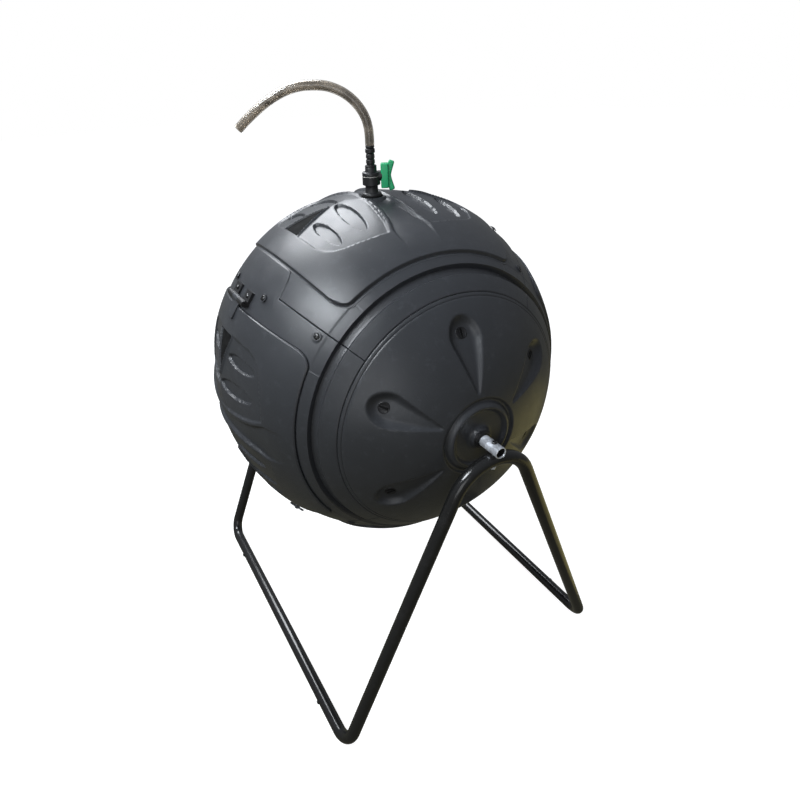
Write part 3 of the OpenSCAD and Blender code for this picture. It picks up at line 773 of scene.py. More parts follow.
def notch_inserts(middle, sizes):
    """Painted shade: two black triangular plates that lie in the notches of a field, 3.5 mm below its face,
    in place of the shadow deep in each notch.
    """
    t, s = np.meshgrid(np.linspace(0.10, 1.0, 18), np.linspace(-1.0, 1.0, 9), indexing="ij")
    x, w = s * (0.029 * t - 0.0012), 0.088 + 0.0800 * t
    parts = []
    for side in (-1.0, 1.0):
        phi = middle + side * np.degrees(w / sizes.ball_r)
        top = sizes.ball_r + sizes.field_rise - 0.0035
        parts.append(shell(on_ball(x, phi, top), on_ball(x, phi, top - 0.0015)))
    return joined(*parts)


def fin(middle):
    """A mixing fin: a slab with rounded edges standing in from a panel's inside."""
    depth, half_x, half_t = 0.0580, 0.140, 0.003
    points, faces = block((half_x, half_t, depth / 2), 0.0015)
    place = hinge_frame(middle + 20.0) @ Matrix.Translation((0.0, 0.0, BALL_R - 0.0615 + depth / 2))
    points, faces = placed(points, faces, [place])
    reach = np.linalg.norm(points - np.array([0.0, 0.0, AXLE_Z]), axis=1)
    pull = np.minimum(1.0, (BALL_R - 0.0036) / reach)[:, None]
    centre = np.array([0.0, 0.0, AXLE_Z])
    return centre + (points - centre) * pull, faces


class BuildPanels(bpy.types.Operator):
    """Top, bottom and back panels, with their raised fields, tabs and mixing fins"""

    bl_idname = "tumbler.panels"
    bl_label = "Panels"

    def execute(self, context):
        sizes = context.scene.tumbler_drum
        names = ("top_panel", "bottom_panel", "back_panel")
        for name in names:
            middle = PANEL_MIDDLES[name]
            x, phi, height, under = panel_grid(middle, sizes)
            outer = on_ball(x, phi, sizes.ball_r + height)
            inner = on_ball(x, phi, sizes.ball_r + under)
            face, back = field_skin(middle, sizes)
            if name == "top_panel":
                face = valve_seat(face)
            add_piece(name + "_shell", shell(outer, inner), "drum", "drum_plastic", name, sharp=50.0)
            add_piece(name + "_field", shell(face, back), "drum", "drum_plastic", sharp=50.0)
        # Painted shade: black plates in the notches stand in for the shadow deep inside them
        painted_notch_shade = joined(*(notch_inserts(PANEL_MIDDLES[name], sizes) for name in names))
        add_piece("notch_inserts", painted_notch_shade, "drum", "black_nylon", coat="black_rubber")
        fins = joined(*(fin(PANEL_MIDDLES[name]) for name in names[:2]))
        add_piece("mixing_fins", fins, "drum", "drum_plastic")
        return {"FINISHED"}


class BuildFrontPanel(bpy.types.Operator):
    """Front panel: the band round the door opening"""

    bl_idname = "tumbler.front_panel"
    bl_label = "Front panel"

    def execute(self, context):
        sizes = context.scene.tumbler_drum
        middle = PANEL_MIDDLES["front_panel"]
        x, phi, height, under = panel_grid(middle, sizes)
        y = np.radians(phi - middle) * sizes.ball_r
        open_y = math.radians(OPEN_ANGLE) * sizes.ball_r
        outer = on_ball(x, phi, sizes.ball_r + height)
        inner = on_ball(x, phi, sizes.ball_r + under)
        centre_x = (x[:-1, :-1] + x[1:, 1:]) / 2
        centre_y = (y[:-1, :-1] + y[1:, 1:]) / 2
        keep = (np.abs(centre_x) > OPEN_X) | (np.abs(centre_y) > open_y)
        add_piece("front_panel_band", shell(outer, inner, keep), "drum", "drum_plastic", "front_panel",
                  sharp=50.0)
        return {"FINISHED"}


class BuildDoor(bpy.types.Operator):
    """Door: the front panel's raised field, with its hinge knuckle"""

    bl_idname = "tumbler.door"
    bl_label = "Door"

    def execute(self, context):
        sizes = context.scene.tumbler_drum
        middle = PANEL_MIDDLES["front_panel"]
        x, y = field_grid(0.0, sizes)
        phi = middle + np.degrees(y / sizes.ball_r)
        outside = field_outside(x, y, sizes)
        height = sizes.field_rise + pressed_pattern(x, y, sizes) * ease(-outside / 0.010)
        height = height - 0.0016 * (1.0 - ease(-outside / 0.0030)) ** 2
        under = np.minimum(height - 0.0024, 0.0004)
        under = np.where(outside < -0.016, height - sizes.wall, under)
        lap = ease((outside + 0.016) / 0.002)
        under = np.maximum(under * lap + (height - sizes.wall) * (1.0 - lap), height - 0.006)
        outer = on_ball(x, phi, sizes.ball_r + height)
        inner = on_ball(x, phi, sizes.ball_r + under)
        add_piece("door_skin", shell(outer, inner), "door", "drum_plastic", "door", sharp=50.0)
        # Painted shade: black plates in the door's notches stand in for their shadow
        add_piece("door_notch_inserts", notch_inserts(middle, sizes), "door", "black_nylon",
                  coat="black_rubber")
        hinge = JOINTS["door_hinge"]["pos_m"]
        pin_r = math.hypot(hinge[1], hinge[2] - AXLE_Z)
        phi_hinge = math.degrees(math.atan2(-hinge[1], hinge[2] - AXLE_Z))
        place = hinge_frame(phi_hinge)
        barrel = [(-0.0135, 0.00255), (-0.0135, 0.0054), (-0.0129, 0.0060), (0.0129, 0.0060),
                  (0.0135, 0.0054), (0.0135, 0.00255)]
        pin = place @ Matrix.Translation((0.0, 0.0, pin_r)) @ Matrix.Rotation(math.pi / 2, 4, "Y")
        strap = placed(*block((0.0135, 0.0190, 0.00225), 0.0012),
                       [place @ Matrix.Translation((0.0, -0.0190, FIELD_R + 0.00025))])
        add_piece("door_strap", joined(lathed(barrel, 32, [pin]), strap), "door", "drum_plastic")
        return {"FINISHED"}


# ---- End caps ----


DIMPLE_TIP = 0.089
DIMPLE_TIP_R = 0.0045
DIMPLE_HEAD = 0.178
DIMPLE_HEAD_R = 0.0305
CAP_EDGE = 0.0004


def teardrop_distance(along, across):
    """Distance outside a teardrop: a small circle and a big one under their common tangents."""
    run = DIMPLE_HEAD - DIMPLE_TIP
    s = np.abs(across)
    t = along - DIMPLE_TIP
    lean = (DIMPLE_HEAD_R - DIMPLE_TIP_R) / run
    flat = math.sqrt(1.0 - lean * lean)
    side = s * flat - t * lean
    foot = t * flat + s * lean
    at_tip = np.hypot(s, t) - DIMPLE_TIP_R
    at_head = np.hypot(s, t - run) - DIMPLE_HEAD_R
    return np.where(foot < 0.0, at_tip, np.where(foot > run * flat, at_head, side - DIMPLE_TIP_R))


def cap_height(radius, phi, sizes):
    """Height of a cap over the ball, at a radius from the axle: six teardrop hollows.

    Each falls steeply from its edge and flattens, deepest at its head, nearly nothing at its tip."""
    turn = (phi - DRUM_TURN + 30.0) % 60.0 - 30.0
    across = radius * np.radians(turn)
    inside = -teardrop_distance(radius, across)
    share = np.clip((radius - DIMPLE_TIP) / (DIMPLE_HEAD - DIMPLE_TIP), 0.0, 1.0)
    run = 0.0045 + 0.0105 * share
    bowl = 1.0 - (1.0 - np.clip(inside / run, 0.0, 1.0)) ** 2
    return -sizes.dimple_depth * bowl * (0.25 + 0.75 * share)


def cap_profile():
    """Rings of a cap's outside: (radius from the axle, distance along it, 1 where it is on the ball)."""
    outer_lat, inner_lat = math.asin((CAP_X + CAP_EDGE) / BALL_R), math.asin(0.3438 / BALL_R)
    edge = np.array([0.0, 0.0006, 0.0012, 0.0020, 0.0035, 0.0055, 0.0064, 0.0072, 0.0080, 0.0092])
    rest = np.linspace(outer_lat + 0.0115 / BALL_R, inner_lat, 70)
    latitude = np.concatenate([outer_lat + edge / BALL_R, rest])
    ball = np.stack([BALL_R * np.cos(latitude), BALL_R * np.sin(latitude), np.ones_like(latitude)], -1)
    # The edge is rounded, and a thin groove runs beside it
    drop = np.array([0.0012, 0.00065, 0.0003, 0.0001, 0.0, 0.0, 0.0004, 0.0009, 0.0004, 0.0])
    ball[:10, :2] *= (1.0 - drop / BALL_R)[:, None]
    hub = np.array(
        [(0.0745, 0.3433), (0.0733, 0.3416), (0.0718, 0.3402), (0.0698, 0.3396), (0.0680, 0.3399),
         (0.0668, 0.3409), (0.0658, 0.3424), (0.0642, 0.3444), (0.0622, 0.3464), (0.0602, 0.3480),
         (0.0585, 0.3488), (0.0568, 0.3489), (0.0552, 0.3483), (0.0540, 0.3470), (0.0530, 0.3455),
         (0.0518, 0.3442), (0.0500, 0.3434), (0.0470, 0.3431), (0.0380, 0.3430), (0.0290, 0.3430),
         (0.0240, 0.3433), (0.0215, 0.3444), (0.0202, 0.3462), (0.0192, 0.3490), (0.0184, 0.3512),
         (0.0176, 0.3519), (0.0160, 0.3520), (0.0141, 0.3520)]
    )
    return np.concatenate([ball, np.column_stack([hub, np.zeros(len(hub))])])


class BuildCaps(bpy.types.Operator):
    """End caps: six teardrop hollows round a ridged hub on each"""

    bl_idname = "tumbler.caps"
    bl_label = "End caps"

    def execute(self, context):
        sizes = context.scene.tumbler_drum
        rings = cap_profile()
        sides = 420
        phi = np.arange(sides) * 360.0 / sides
        radius, angle = np.meshgrid(rings[:, 0], phi, indexing="ij")
        along = np.broadcast_to(rings[:, 1:2], radius.shape)
        on = np.broadcast_to(rings[:, 2:], radius.shape)
        height = on * cap_height(radius, angle, sizes)
        around = np.radians(angle)
        # The inside follows the outside at the wall's distance, square to the ball or along the hub
        for side, name in ((1.0, "right"), (-1.0, "left")):
            skins = []
            for drop in (0.0, sizes.wall):
                grow = 1.0 + (height - on * drop) / sizes.ball_r
                r = radius * grow
                x = along * grow - (1.0 - on) * drop
                skins.append(
                    np.stack([side * x, -r * np.sin(around), AXLE_Z + r * np.cos(around)], -1)
                )
            add_piece(name + "_cap_shell", shell(*skins, wrap_columns=True), "drum", "drum_plastic",
                      name + "_end_cap", sharp=50.0)
        return {"FINISHED"}


class BuildVents(bpy.types.Operator):
    """Slotted vent plugs at the heads of the cap hollows"""

    bl_idname = "tumbler.vents"
    bl_label = "Vent plugs"

    def execute(self, context):
        low_x = math.sqrt(BALL_R**2 - VENT_R**2)
        plug = [(0.0, 0.0), (0.0, 0.0102), (0.0006, 0.0108), (0.0040, 0.0108), (0.0048, 0.0100),
                (0.0050, 0.0092), (0.0044, 0.0082), (0.0042, 0.0)]
        body = turned(plug, 40)
        lip = placed(*block((0.0074, 0.0007, 0.0008), 0.0003), [
            Matrix.Translation((0.0, side * 0.0026, 0.0048)) for side in (-1.0, 1.0)])
        places = [ball_frame(x, DRUM_TURN + 60.0 * k, BALL_R - 0.0161)
                  for x in (low_x, -low_x) for k in range(6)]
        add_piece("vent_plug_set", placed(*joined(body, lip), places), "drum", "black_nylon", "vent_plugs")
        # Painted shade: the slot is a recess between the two lips, and a matt black block in it stands in
        # for its shadow
        slots = placed(*block((0.0076, 0.0018, 0.0005), 0.0002), [
            place @ Matrix.Translation((0.0, 0.0, 0.0045)) for place in places])
        add_piece("vent_slots", slots, "drum", "rubber")
        return {"FINISHED"}


# ---- Axle, hubs and stand ----


TUBE_WALL = 0.0015


def arc(start, corner, end, radius, count):
    """Points of a round bend in a corner: the circle that touches both straights."""
    start, corner, end = (np.asarray(p, float) for p in (start, corner, end))
    u = (start - corner) / np.linalg.norm(start - corner)
    v = (end - corner) / np.linalg.norm(end - corner)
    half = math.acos(np.clip(u @ v, -1.0, 1.0)) / 2.0
    middle = (u + v) / np.linalg.norm(u + v)
    centre = corner + middle * radius / math.sin(half)
    first = corner + u * radius / math.tan(half) - centre
    turn = math.pi - 2.0 * half
    ex, ey = first / radius, -u
    t = np.linspace(0.0, turn, count)[:, None]
    return centre + radius * (ex * np.cos(t) + ey * np.sin(t))


def tube_ends(path, radius, bore, depth=0.02):
    """A path, its radii and its directions for a tube with open ends, hollow for a short way."""
    path = np.asarray(path, float)
    first = (path[1] - path[0]) / np.linalg.norm(path[1] - path[0])
    last = (path[-1] - path[-2]) / np.linalg.norm(path[-1] - path[-2])
    lead = [(depth, 0.0), (depth, bore), (0.0006, bore), (0.0, bore + 0.0004), (0.0, radius - 0.0006),
            (0.0006, radius)]
    points = [path[0] + first * step for step, _ in lead] + list(path[1:-1])
    points += [path[-1] - last * step for step, _ in lead[::-1]]
    radii = [r for _, r in lead] + [radius] * (len(path) - 2) + [r for _, r in lead[::-1]]
    along = np.concatenate([[first] * len(lead), np.gradient(path, axis=0)[1:-1], [last] * len(lead)])
    return np.array(points), radii, along


def frame_path(sizes):
    """Centre line of the right end frame, from one base rail joint to the other."""
    arch_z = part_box("right_end_frame")[1].z - sizes.tube_r
    rise, bend = arch_z - sizes.tube_r, sizes.arch_bend_r
    lean = math.acos(bend / math.hypot(FOOT_Y, rise - bend)) - math.atan2(rise - bend, FOOT_Y)
    top_z = arch_z + bend * (1.0 / math.sin(lean) - 1.0)
    top_x = sizes.foot_x + (sizes.arch_x - sizes.foot_x) * (top_z - sizes.tube_r) / rise
    joint_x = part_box("right_end_frame")[0].x
    corners = np.array(
        [(joint_x, -FOOT_Y, sizes.tube_r), (sizes.foot_x, -FOOT_Y, sizes.tube_r), (top_x, 0.0, top_z),
         (sizes.foot_x, FOOT_Y, sizes.tube_r), (joint_x, FOOT_Y, sizes.tube_r)]
    )
    bends = [sizes.corner_bend_r, bend, sizes.corner_bend_r]
    rounds = [arc(corners[i], corners[i + 1], corners[i + 2], bends[i], 22) for i in range(3)]
    return np.concatenate([corners[:1], *rounds, corners[-1:]])


class BuildStand(bpy.types.Operator):
    """Stand: two bent-tube end frames and two base rails"""

    bl_idname = "tumbler.stand"
    bl_label = "Stand"

    def execute(self, context):
        sizes = context.scene.tumbler_stand
        path = frame_path(sizes)
        for side, name in ((1.0, "right"), (-1.0, "left")):
            tube = tube_ends(path * (side, 1.0, 1.0), sizes.tube_r, sizes.tube_r - TUBE_WALL)
            add_piece(name + "_frame_tube", swept(*tube), "stand", "black_paint", name + "_end_frame")
        joint_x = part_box("right_end_frame")[0].x - 0.0002
        swage_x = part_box("front_base_rail")[1].x
        swage_r = sizes.tube_r - TUBE_WALL - 0.0002
        # Full tube between the joints, necked down to the swaged ends
        line = [(-swage_x, 0.0), (-swage_x, swage_r - 0.001), (-swage_x + 0.001, swage_r),
                (-joint_x - 0.0004, swage_r), (-joint_x, sizes.tube_r - 0.0006),
                (-joint_x + 0.0006, sizes.tube_r)]
        line = line + [(-x, r) for x, r in line[::-1]]
        for side, name in ((-1.0, "front"), (1.0, "back")):
            place = axis_frame((0.0, side * FOOT_Y, sizes.tube_r), (1.0, 0.0, 0.0))
            add_piece(name + "_rail_tube", lathed(line, 40, [place], ring=False), "stand", "black_paint",
                      name + "_base_rail")
        return {"FINISHED"}


def pan_head(radius, height, shank_r, shank_l):
    """A pan-head screw round local Z: domed head above zero, cross recess as a dished middle."""
    arch = np.radians(np.linspace(0.0, 78.0, 7))
    dome = [(height * (0.35 + 0.65 * math.sin(a)), radius * (0.25 + 0.75 * math.cos(a))) for a in arch]
    dish = [(height * 0.55, radius * 0.26), (height * 0.42, 0.0)]
    shank = [(-shank_l, 0.0), (-shank_l, shank_r), (0.0, shank_r), (0.0, radius)]
    return turned([*shank, *dome, *dish], 28)


class BuildFasteners(bpy.types.Operator):
    """Seam and rail screws, axle bolts and nuts"""

    bl_idname = "tumbler.fasteners"
    bl_label = "Fasteners"

    def execute(self, context):
        head = pan_head(0.0052, 0.0026, 0.0025, 0.009)
        collar = turned([(-0.0002, 0.0050), (-0.0002, 0.0074), (0.0006, 0.0078), (0.0011, 0.0074),
                         (0.0011, 0.0058), (0.0004, 0.0052)], 28, ring=True)
        # The inner screws of each seam stand on the panel's tab
        places = [ball_frame(x, middle + SEAM_ANGLE + SCREW_ANGLE, BALL_R + (0.0013 if abs(x) > TAB_HALF
                                                                             else 0.0031))
                  for middle in PANEL_MIDDLES.values() for x in SCREW_XS]
        add_piece("seam_screw_heads", placed(*head, places), "drum", "black_paint", "seam_screws")
        add_piece("seam_screw_collars", placed(*collar, places), "drum", "drum_plastic")
        rail_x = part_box("rail_screws")[1].x - 0.0045
        sides = [axis_frame((x, s * (FOOT_Y + TUBE_R), TUBE_R), (0.0, s, 0.0))
                 for x in (-rail_x, rail_x) for s in (-1.0, 1.0)]
        rail = placed(*pan_head(0.0044, 0.0028, 0.0024, 0.012), sides)
        add_piece("rail_screw_heads", rail, "stand", "black_paint", "rail_screws")
        low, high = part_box("axle_bolts")
        arch_x = high.x - 0.005
        shank = high.z - low.z - 0.0035
        bolt = placed(*pan_head(0.0049, 0.0034, 0.0029, shank),
                      [Matrix.Translation((s * arch_x, 0.0, high.z - 0.0035)) for s in (-1.0, 1.0)])
        add_piece("axle_bolt_set", bolt, "stand", "black_paint", "axle_bolts")
        low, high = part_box("axle_nuts")
        tall = high.z - low.z
        hexagon = [(0.0, 0.0031), (0.0, 0.0050), (0.0006, 0.0056), (tall - 0.0012, 0.0056),
                   (tall - 0.0012, 0.0031)]
        flange = [(tall - 0.0012, 0.0031), (tall - 0.0012, 0.0060), (tall - 0.0008, 0.00625),
                  (tall - 0.0002, 0.0061), (tall, 0.0055), (tall, 0.0031)]
        nut = joined(turned(hexagon, 6, ring=True), turned(flange, 36, ring=True))
        nuts = placed(*nut, [Matrix.Translation((s * arch_x, 0.0, low.z)) for s in (-1.0, 1.0)])
        add_piece("axle_nut_set", nuts, "stand", "zinc", "axle_nuts", sharp=30.0)
        return {"FINISHED"}


class BuildAxle(bpy.types.Operator):
    """Axle tube, its thrust washers and rings, and the hub bushes"""

    bl_idname = "tumbler.axle"
    bl_label = "Axle and hubs"

    def execute(self, context):
        bore = AXLE_R - 0.0016
        line = [(-AXLE_END + 0.09, 0.0), (-AXLE_END + 0.09, bore), (-AXLE_END + 0.0005, bore),
                (-AXLE_END, bore + 0.0004), (-AXLE_END, AXLE_R - 0.0006), (-AXLE_END + 0.0006, AXLE_R)]
        line = line + [(-x, r) for x, r in line[::-1]]
        ends = [axis_frame((0.0, 0.0, AXLE_Z), (side, 0.0, 0.0)) for side in (1.0, -1.0)]
        add_piece("axle_tube", lathed(line, 48, ends[:1], ring=False), "stand", "zinc", "axle")
        washer_x, ring_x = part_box("thrust_washers")[1].x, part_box("retaining_rings")[1].x
        tight, wide = AXLE_R + 0.0002, AXLE_R + 0.0060
        washer = [(washer_x - 0.0020, tight), (washer_x - 0.0020, wide - 0.0005),
                  (washer_x - 0.0016, wide), (washer_x - 0.0004, wide), (washer_x, wide - 0.0005),
                  (washer_x, tight)]
        tight, wide = AXLE_R - 0.0005, AXLE_R + 0.0030
        ring = [(ring_x - 0.0010, tight), (ring_x - 0.0010, wide - 0.0004), (ring_x - 0.0007, wide),
                (ring_x - 0.0003, wide), (ring_x, wide - 0.0004), (ring_x, tight)]
        add_piece("thrust_washer_set", lathed(washer, 48, ends), "stand", "black_nylon", "thrust_washers")
        add_piece("retaining_ring_set", lathed(ring, 48, ends), "stand", "black_paint", "retaining_rings")
        # Painted shade: a black lining in the tube's bore stands in for the shadow deep inside it
        mouth = AXLE_END - 0.0030
        lining = [(-AXLE_END + 0.02, 0.0), (-mouth, bore - 0.0003), (-mouth, bore), (mouth, bore),
                  (mouth, bore - 0.0003), (AXLE_END - 0.02, 0.0)]
        add_piece("axle_scale", lathed(lining, 40, ends[:1], ring=False), "stand", "rubber")
        flange_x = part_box("right_hub_bush")[1].x
        sleeve_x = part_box("right_hub_bush")[0].x
        tight = AXLE_R + 0.0001
        bush = [(sleeve_x, tight), (sleeve_x, 0.0136), (sleeve_x + 0.0004, 0.0140), (BALL_R, 0.0140),
                (BALL_R, 0.0174), (BALL_R + 0.0006, 0.0180), (flange_x - 0.0008, 0.0180),
                (flange_x, 0.0171), (flange_x, tight + 0.0006), (flange_x - 0.0006, tight)]
        for place, name in zip(ends, ("right", "left")):
            add_piece(name + "_bush", lathed(bush, 56, [place]), "drum", "black_nylon", name + "_hub_bush")
        return {"FINISHED"}


# ---- Valve and hose ----


# Centre line of the hose's free arc: distance out from the valve, height above the barb's tip
HOSE_ROUTE = np.array(
    [(0, 0), (0, 13), (1, 27), (5, 43), (13, 58), (24, 71), (38, 82), (54, 90), (71, 95), (89, 96.6),
     (107, 96.6), (125, 94), (142, 89), (158, 82), (173, 74), (187, 65), (201, 55), (214, 45), (227, 34)]
) * 0.001


class BuildHose(bpy.types.Operator):
    """Clear hose: a stiff open-ended tube that keeps its coiled set"""

    bl_idname = "tumbler.hose"
    bl_label = "Hose"

    def execute(self, context):
        sizes = context.scene.tumbler_hose
        out = math.radians(SPINDLE_ANGLE + 180.0)
        route = np.column_stack([HOSE_ROUTE[:, 0] * math.cos(out), HOSE_ROUTE[:, 0] * math.sin(out),
                                 HOSE_ROUTE[:, 1]])
        path = smooth_path(route + np.array(HOSE_EXIT))
        sides, full, bore = 28, sizes.outside / 2, sizes.bore / 2
        wide, narrow = np.full(len(path), full), np.full(len(path), bore)
        wide[[0, -1]] -= 0.0004
        narrow[[0, -1]] += 0.0004
        rings = np.concatenate([path_rings(path, wide, sides), path_rings(path, narrow, sides)[::-1]])
        faces = grid_quads(len(rings), sides, wrap_rows=True, wrap_columns=True)
        piece = add_piece("clear_hose", (rings, faces), "drum", "clear_vinyl", "hose", sharp=60.0)
        return {"FINISHED"}


def superoval_bar(path, across, half_in, half_out, squareness):
    """A rounded bar along a path: at each point an oval with squared sides, half_in wide in the
    path's plane and half_out wide along the direction across."""
    path, across = np.asarray(path, float), np.asarray(across, float)
    along = np.gradient(path, axis=0)
    along /= np.linalg.norm(along, axis=1)[:, None]
    level = np.cross(along, across)
    angle = np.linspace(0.0, 2.0 * math.pi, 32, endpoint=False)
    c, s = np.cos(angle), np.sin(angle)
    u = (np.sign(c) * np.abs(c) ** squareness)[:, None]
    v = (np.sign(s) * np.abs(s) ** squareness)[:, None]
    rings = (path[:, None] + half_in[:, None, None] * u * level[:, None]
             + half_out[:, None, None] * v * across)
    return rings.reshape(-1, 3), grid_quads(len(path), 32, wrap_columns=True)


class BuildValve(bpy.types.Operator):
    """Ball valve on top: gasket, flange, body, ribbed barb and handle"""

    bl_idname = "tumbler.valve"
    bl_label = "Valve"

    def execute(self, context):
        seat = [Matrix.Translation(VALVE)]
        gasket = [(0.0, 0.0092), (0.0, 0.0196), (0.0005, 0.0200), (0.0015, 0.0200), (0.0020, 0.0195),
                  (0.0020, 0.0092)]
        add_piece("valve_gasket_ring", lathed(gasket, 56, seat), "drum", "rubber", "valve_gasket")
        foot = [(0.0020, 0.0040), (0.0020, 0.0174), (0.0025, 0.0180), (0.0050, 0.0180),
                (0.0060, 0.0172), (0.0062, 0.0142), (0.0070, 0.0128), (0.0095, 0.0120),
                (0.0150, 0.0114), (0.0185, 0.0114), (0.0196, 0.0120), (0.0199, 0.0118),
                (0.0199, 0.0040)]
        shank = [(-0.0260, 0.0040), (-0.0260, 0.0085), (-0.0255, 0.0090), (0.0022, 0.0090),
                 (0.0022, 0.0040)]
        base = joined(lathed(foot, 56, seat), lathed(shank, 40, seat))
        add_piece("valve_base", base, "drum", "black_nylon", "valve_flange")
        # Two half shells of the body meet in a pale parting line
        lower = [(0.0200, 0.0040), (0.0200, 0.0152), (0.0206, 0.0160), (0.0340, 0.0160),
                 (0.0344, 0.0156), (0.0344, 0.0040)]
        upper = [(0.0352, 0.0040), (0.0352, 0.0156), (0.0356, 0.0160), (0.0404, 0.0160),
                 (0.0416, 0.0154), (0.0422, 0.0142), (0.0425, 0.0106), (0.0430, 0.0104),
                 (0.0494, 0.0104), (0.0499, 0.0100), (0.0499, 0.0040)]
        body = joined(lathed(lower, 56, seat), lathed(upper, 56, seat))
        add_piece("valve_shell", body, "drum", "black_nylon", "valve_body")
        parting = [(0.0342, 0.0040), (0.0342, 0.0154), (0.0348, 0.0161), (0.0354, 0.0154),
                   (0.0354, 0.0040)]
        add_piece("valve_parting", lathed(parting, 56, seat), "drum", "rubber", coat="pale_seal")
        spindle = Matrix.Translation((VALVE.x, VALVE.y, SPINDLE_Z)) @ Matrix.Rotation(
            math.radians(SPINDLE_ANGLE), 4, "Z") @ Matrix.Rotation(math.pi / 2, 4, "Y")
        boss = [(0.0120, 0.0042), (0.0120, 0.0090), (0.0190, 0.0090), (0.0197, 0.0084),
                (0.0197, 0.0042)]
        add_piece("valve_boss", lathed(boss, 48, [spindle]), "drum", "black_nylon")
        barb = [(0.0500, 0.0040), (0.0500, 0.0098), (0.0504, 0.0104), (0.0526, 0.0104), (0.0532, 0.0098),
                (0.0534, 0.0072), (0.0552, 0.0070)]
        for z, r in ((0.0562, 0.0081), (0.0652, 0.0079), (0.0742, 0.0088)):
            barb += [(z, r - 0.0009), (z + 0.0005, r), (z + 0.0058, r - 0.0003),
                     (z + 0.0066, r - 0.0010), (z + 0.0070, 0.0067)]
        barb += [(0.0822, 0.0074), (0.0828, 0.0079), (0.0852, 0.0079), (0.0860, 0.0072),
                 (0.0860, 0.0040)]
        add_piece("hose_barb", lathed(barb, 48, seat), "drum", "black_nylon", "valve_barb", sharp=32.0)
        self.handle(spindle)
        return {"FINISHED"}

    def handle(self, spindle):
        """A tall skirt and a bow-tie grip: the grip stands out further as hypot(height, 6 mm) grows."""
        skirt = placed(*block((0.0070, 0.0080, 0.0210), 0.0022), [
            spindle @ Matrix.Rotation(-math.pi / 2, 4, "Y") @ Matrix.Translation((0.0245, 0.0, 0.0))])
        z = np.concatenate([[-0.0250, -0.0247, -0.0240], np.linspace(-0.0228, 0.0228, 25),
                            [0.0240, 0.0247, 0.0250]])
        out = 0.0286 + 0.36 * np.hypot(z, 0.006)
        shrink = np.ones(len(z))
        shrink[[0, 1, 2, -3, -2, -1]] = (0.0, 0.72, 0.92, 0.92, 0.72, 0.0)
        path = np.column_stack([z, np.zeros_like(z), out])
        grip = superoval_bar(path, (0.0, 1.0, 0.0), 0.0052 * shrink, 0.0050 * shrink, 0.45)
        grip = placed(*grip, [spindle])
        add_piece("handle_grip", joined(skirt, grip), "handle", "green_plastic", "valve_handle")


class DressNodes(bpy.types.Operator):
    """Materials for the parts that come straight from the frame"""

    bl_idname = "tumbler.dress"
    bl_label = "Small fittings"

    def execute(self, context):
        coats = {
            "satin_nylon": ["hinge_bracket", "valve_backnut"],
            "powder_black": ["hinge_screws", "hinge_pin", "latch_screws"],
            "galvanised": ["valve_ball"],
            "charcoal_plastic": ["door_latch_right", "door_latch_left"],
        }
        for coat, names in coats.items():
            for name in names:
                node = frame["nodes"][name]
                node.data.materials.clear()
                node.data.materials.append(finish(coat))
        return {"FINISHED"}


# ---- Stage ----


CAMERA_AT = (1.0273, -0.5498, 1.2350)
CAMERA_YAW = 151.93
CAMERA_PITCH = 31.41
CAMERA_ROLL = -2.53
CAMERA_LENS = 27.0
CAMERA_SHIFT = (0.020, 0.0086)


def camera_matrix():
    """The camera's place: X right, Y up and Z backwards from its yaw, pitch and roll."""
    yaw, pitch, roll = (math.radians(a) for a in (CAMERA_YAW, CAMERA_PITCH, CAMERA_ROLL))
    level = math.cos(pitch)
    forward = Vector((math.cos(yaw) * level, math.sin(yaw) * level, -math.sin(pitch)))
    right = Vector((math.sin(yaw), -math.cos(yaw), 0.0))
    up = right.cross(forward)
    across = right * math.cos(roll) + up * math.sin(roll)
    upward = up * math.cos(roll) - right * math.sin(roll)
    turn = Matrix((across, upward, -forward)).transposed().to_4x4()
    return Matrix.Translation(CAMERA_AT) @ turn


def softbox(name, place, target, width, height, power, colour):
    """A rectangular light that faces a target."""
    light = bpy.data.lights.new(name, "AREA")
    light.shape = "RECTANGLE"
    light.size, light.size_y = width, height
    light.energy = power
    light.color = colour
    lamp = bpy.data.objects.new(name, light)
    bpy.context.scene.collection.objects.link(lamp)
    place = Vector(place)
    turn = (Vector(target) - place).to_track_quat("-Z", "Y").to_matrix().to_4x4()
    lamp.matrix_world = Matrix.Translation(place) @ turn
    return lamp


def stage_material(name, colour, glow):
    """A matt surface with a little glow of its own, and a faint drift in tone."""
    material, tree, shader = new_material(name)
    tone = spread(tree, noise(tree, 0.6, 2.0), 0.3, 0.7, 0.0, 1.0)
    tones(tree, shader, tone, colour, shade(colour, 0.99))
    shader.inputs["Roughness"].default_value = 0.9
    shader.inputs["Specular IOR Level"].default_value = 0.0
    shader.inputs["Emission Color"].default_value = (1.0, 1.0, 1.0, 1.0)
    shader.inputs["Emission Strength"].default_value = glow
    return material


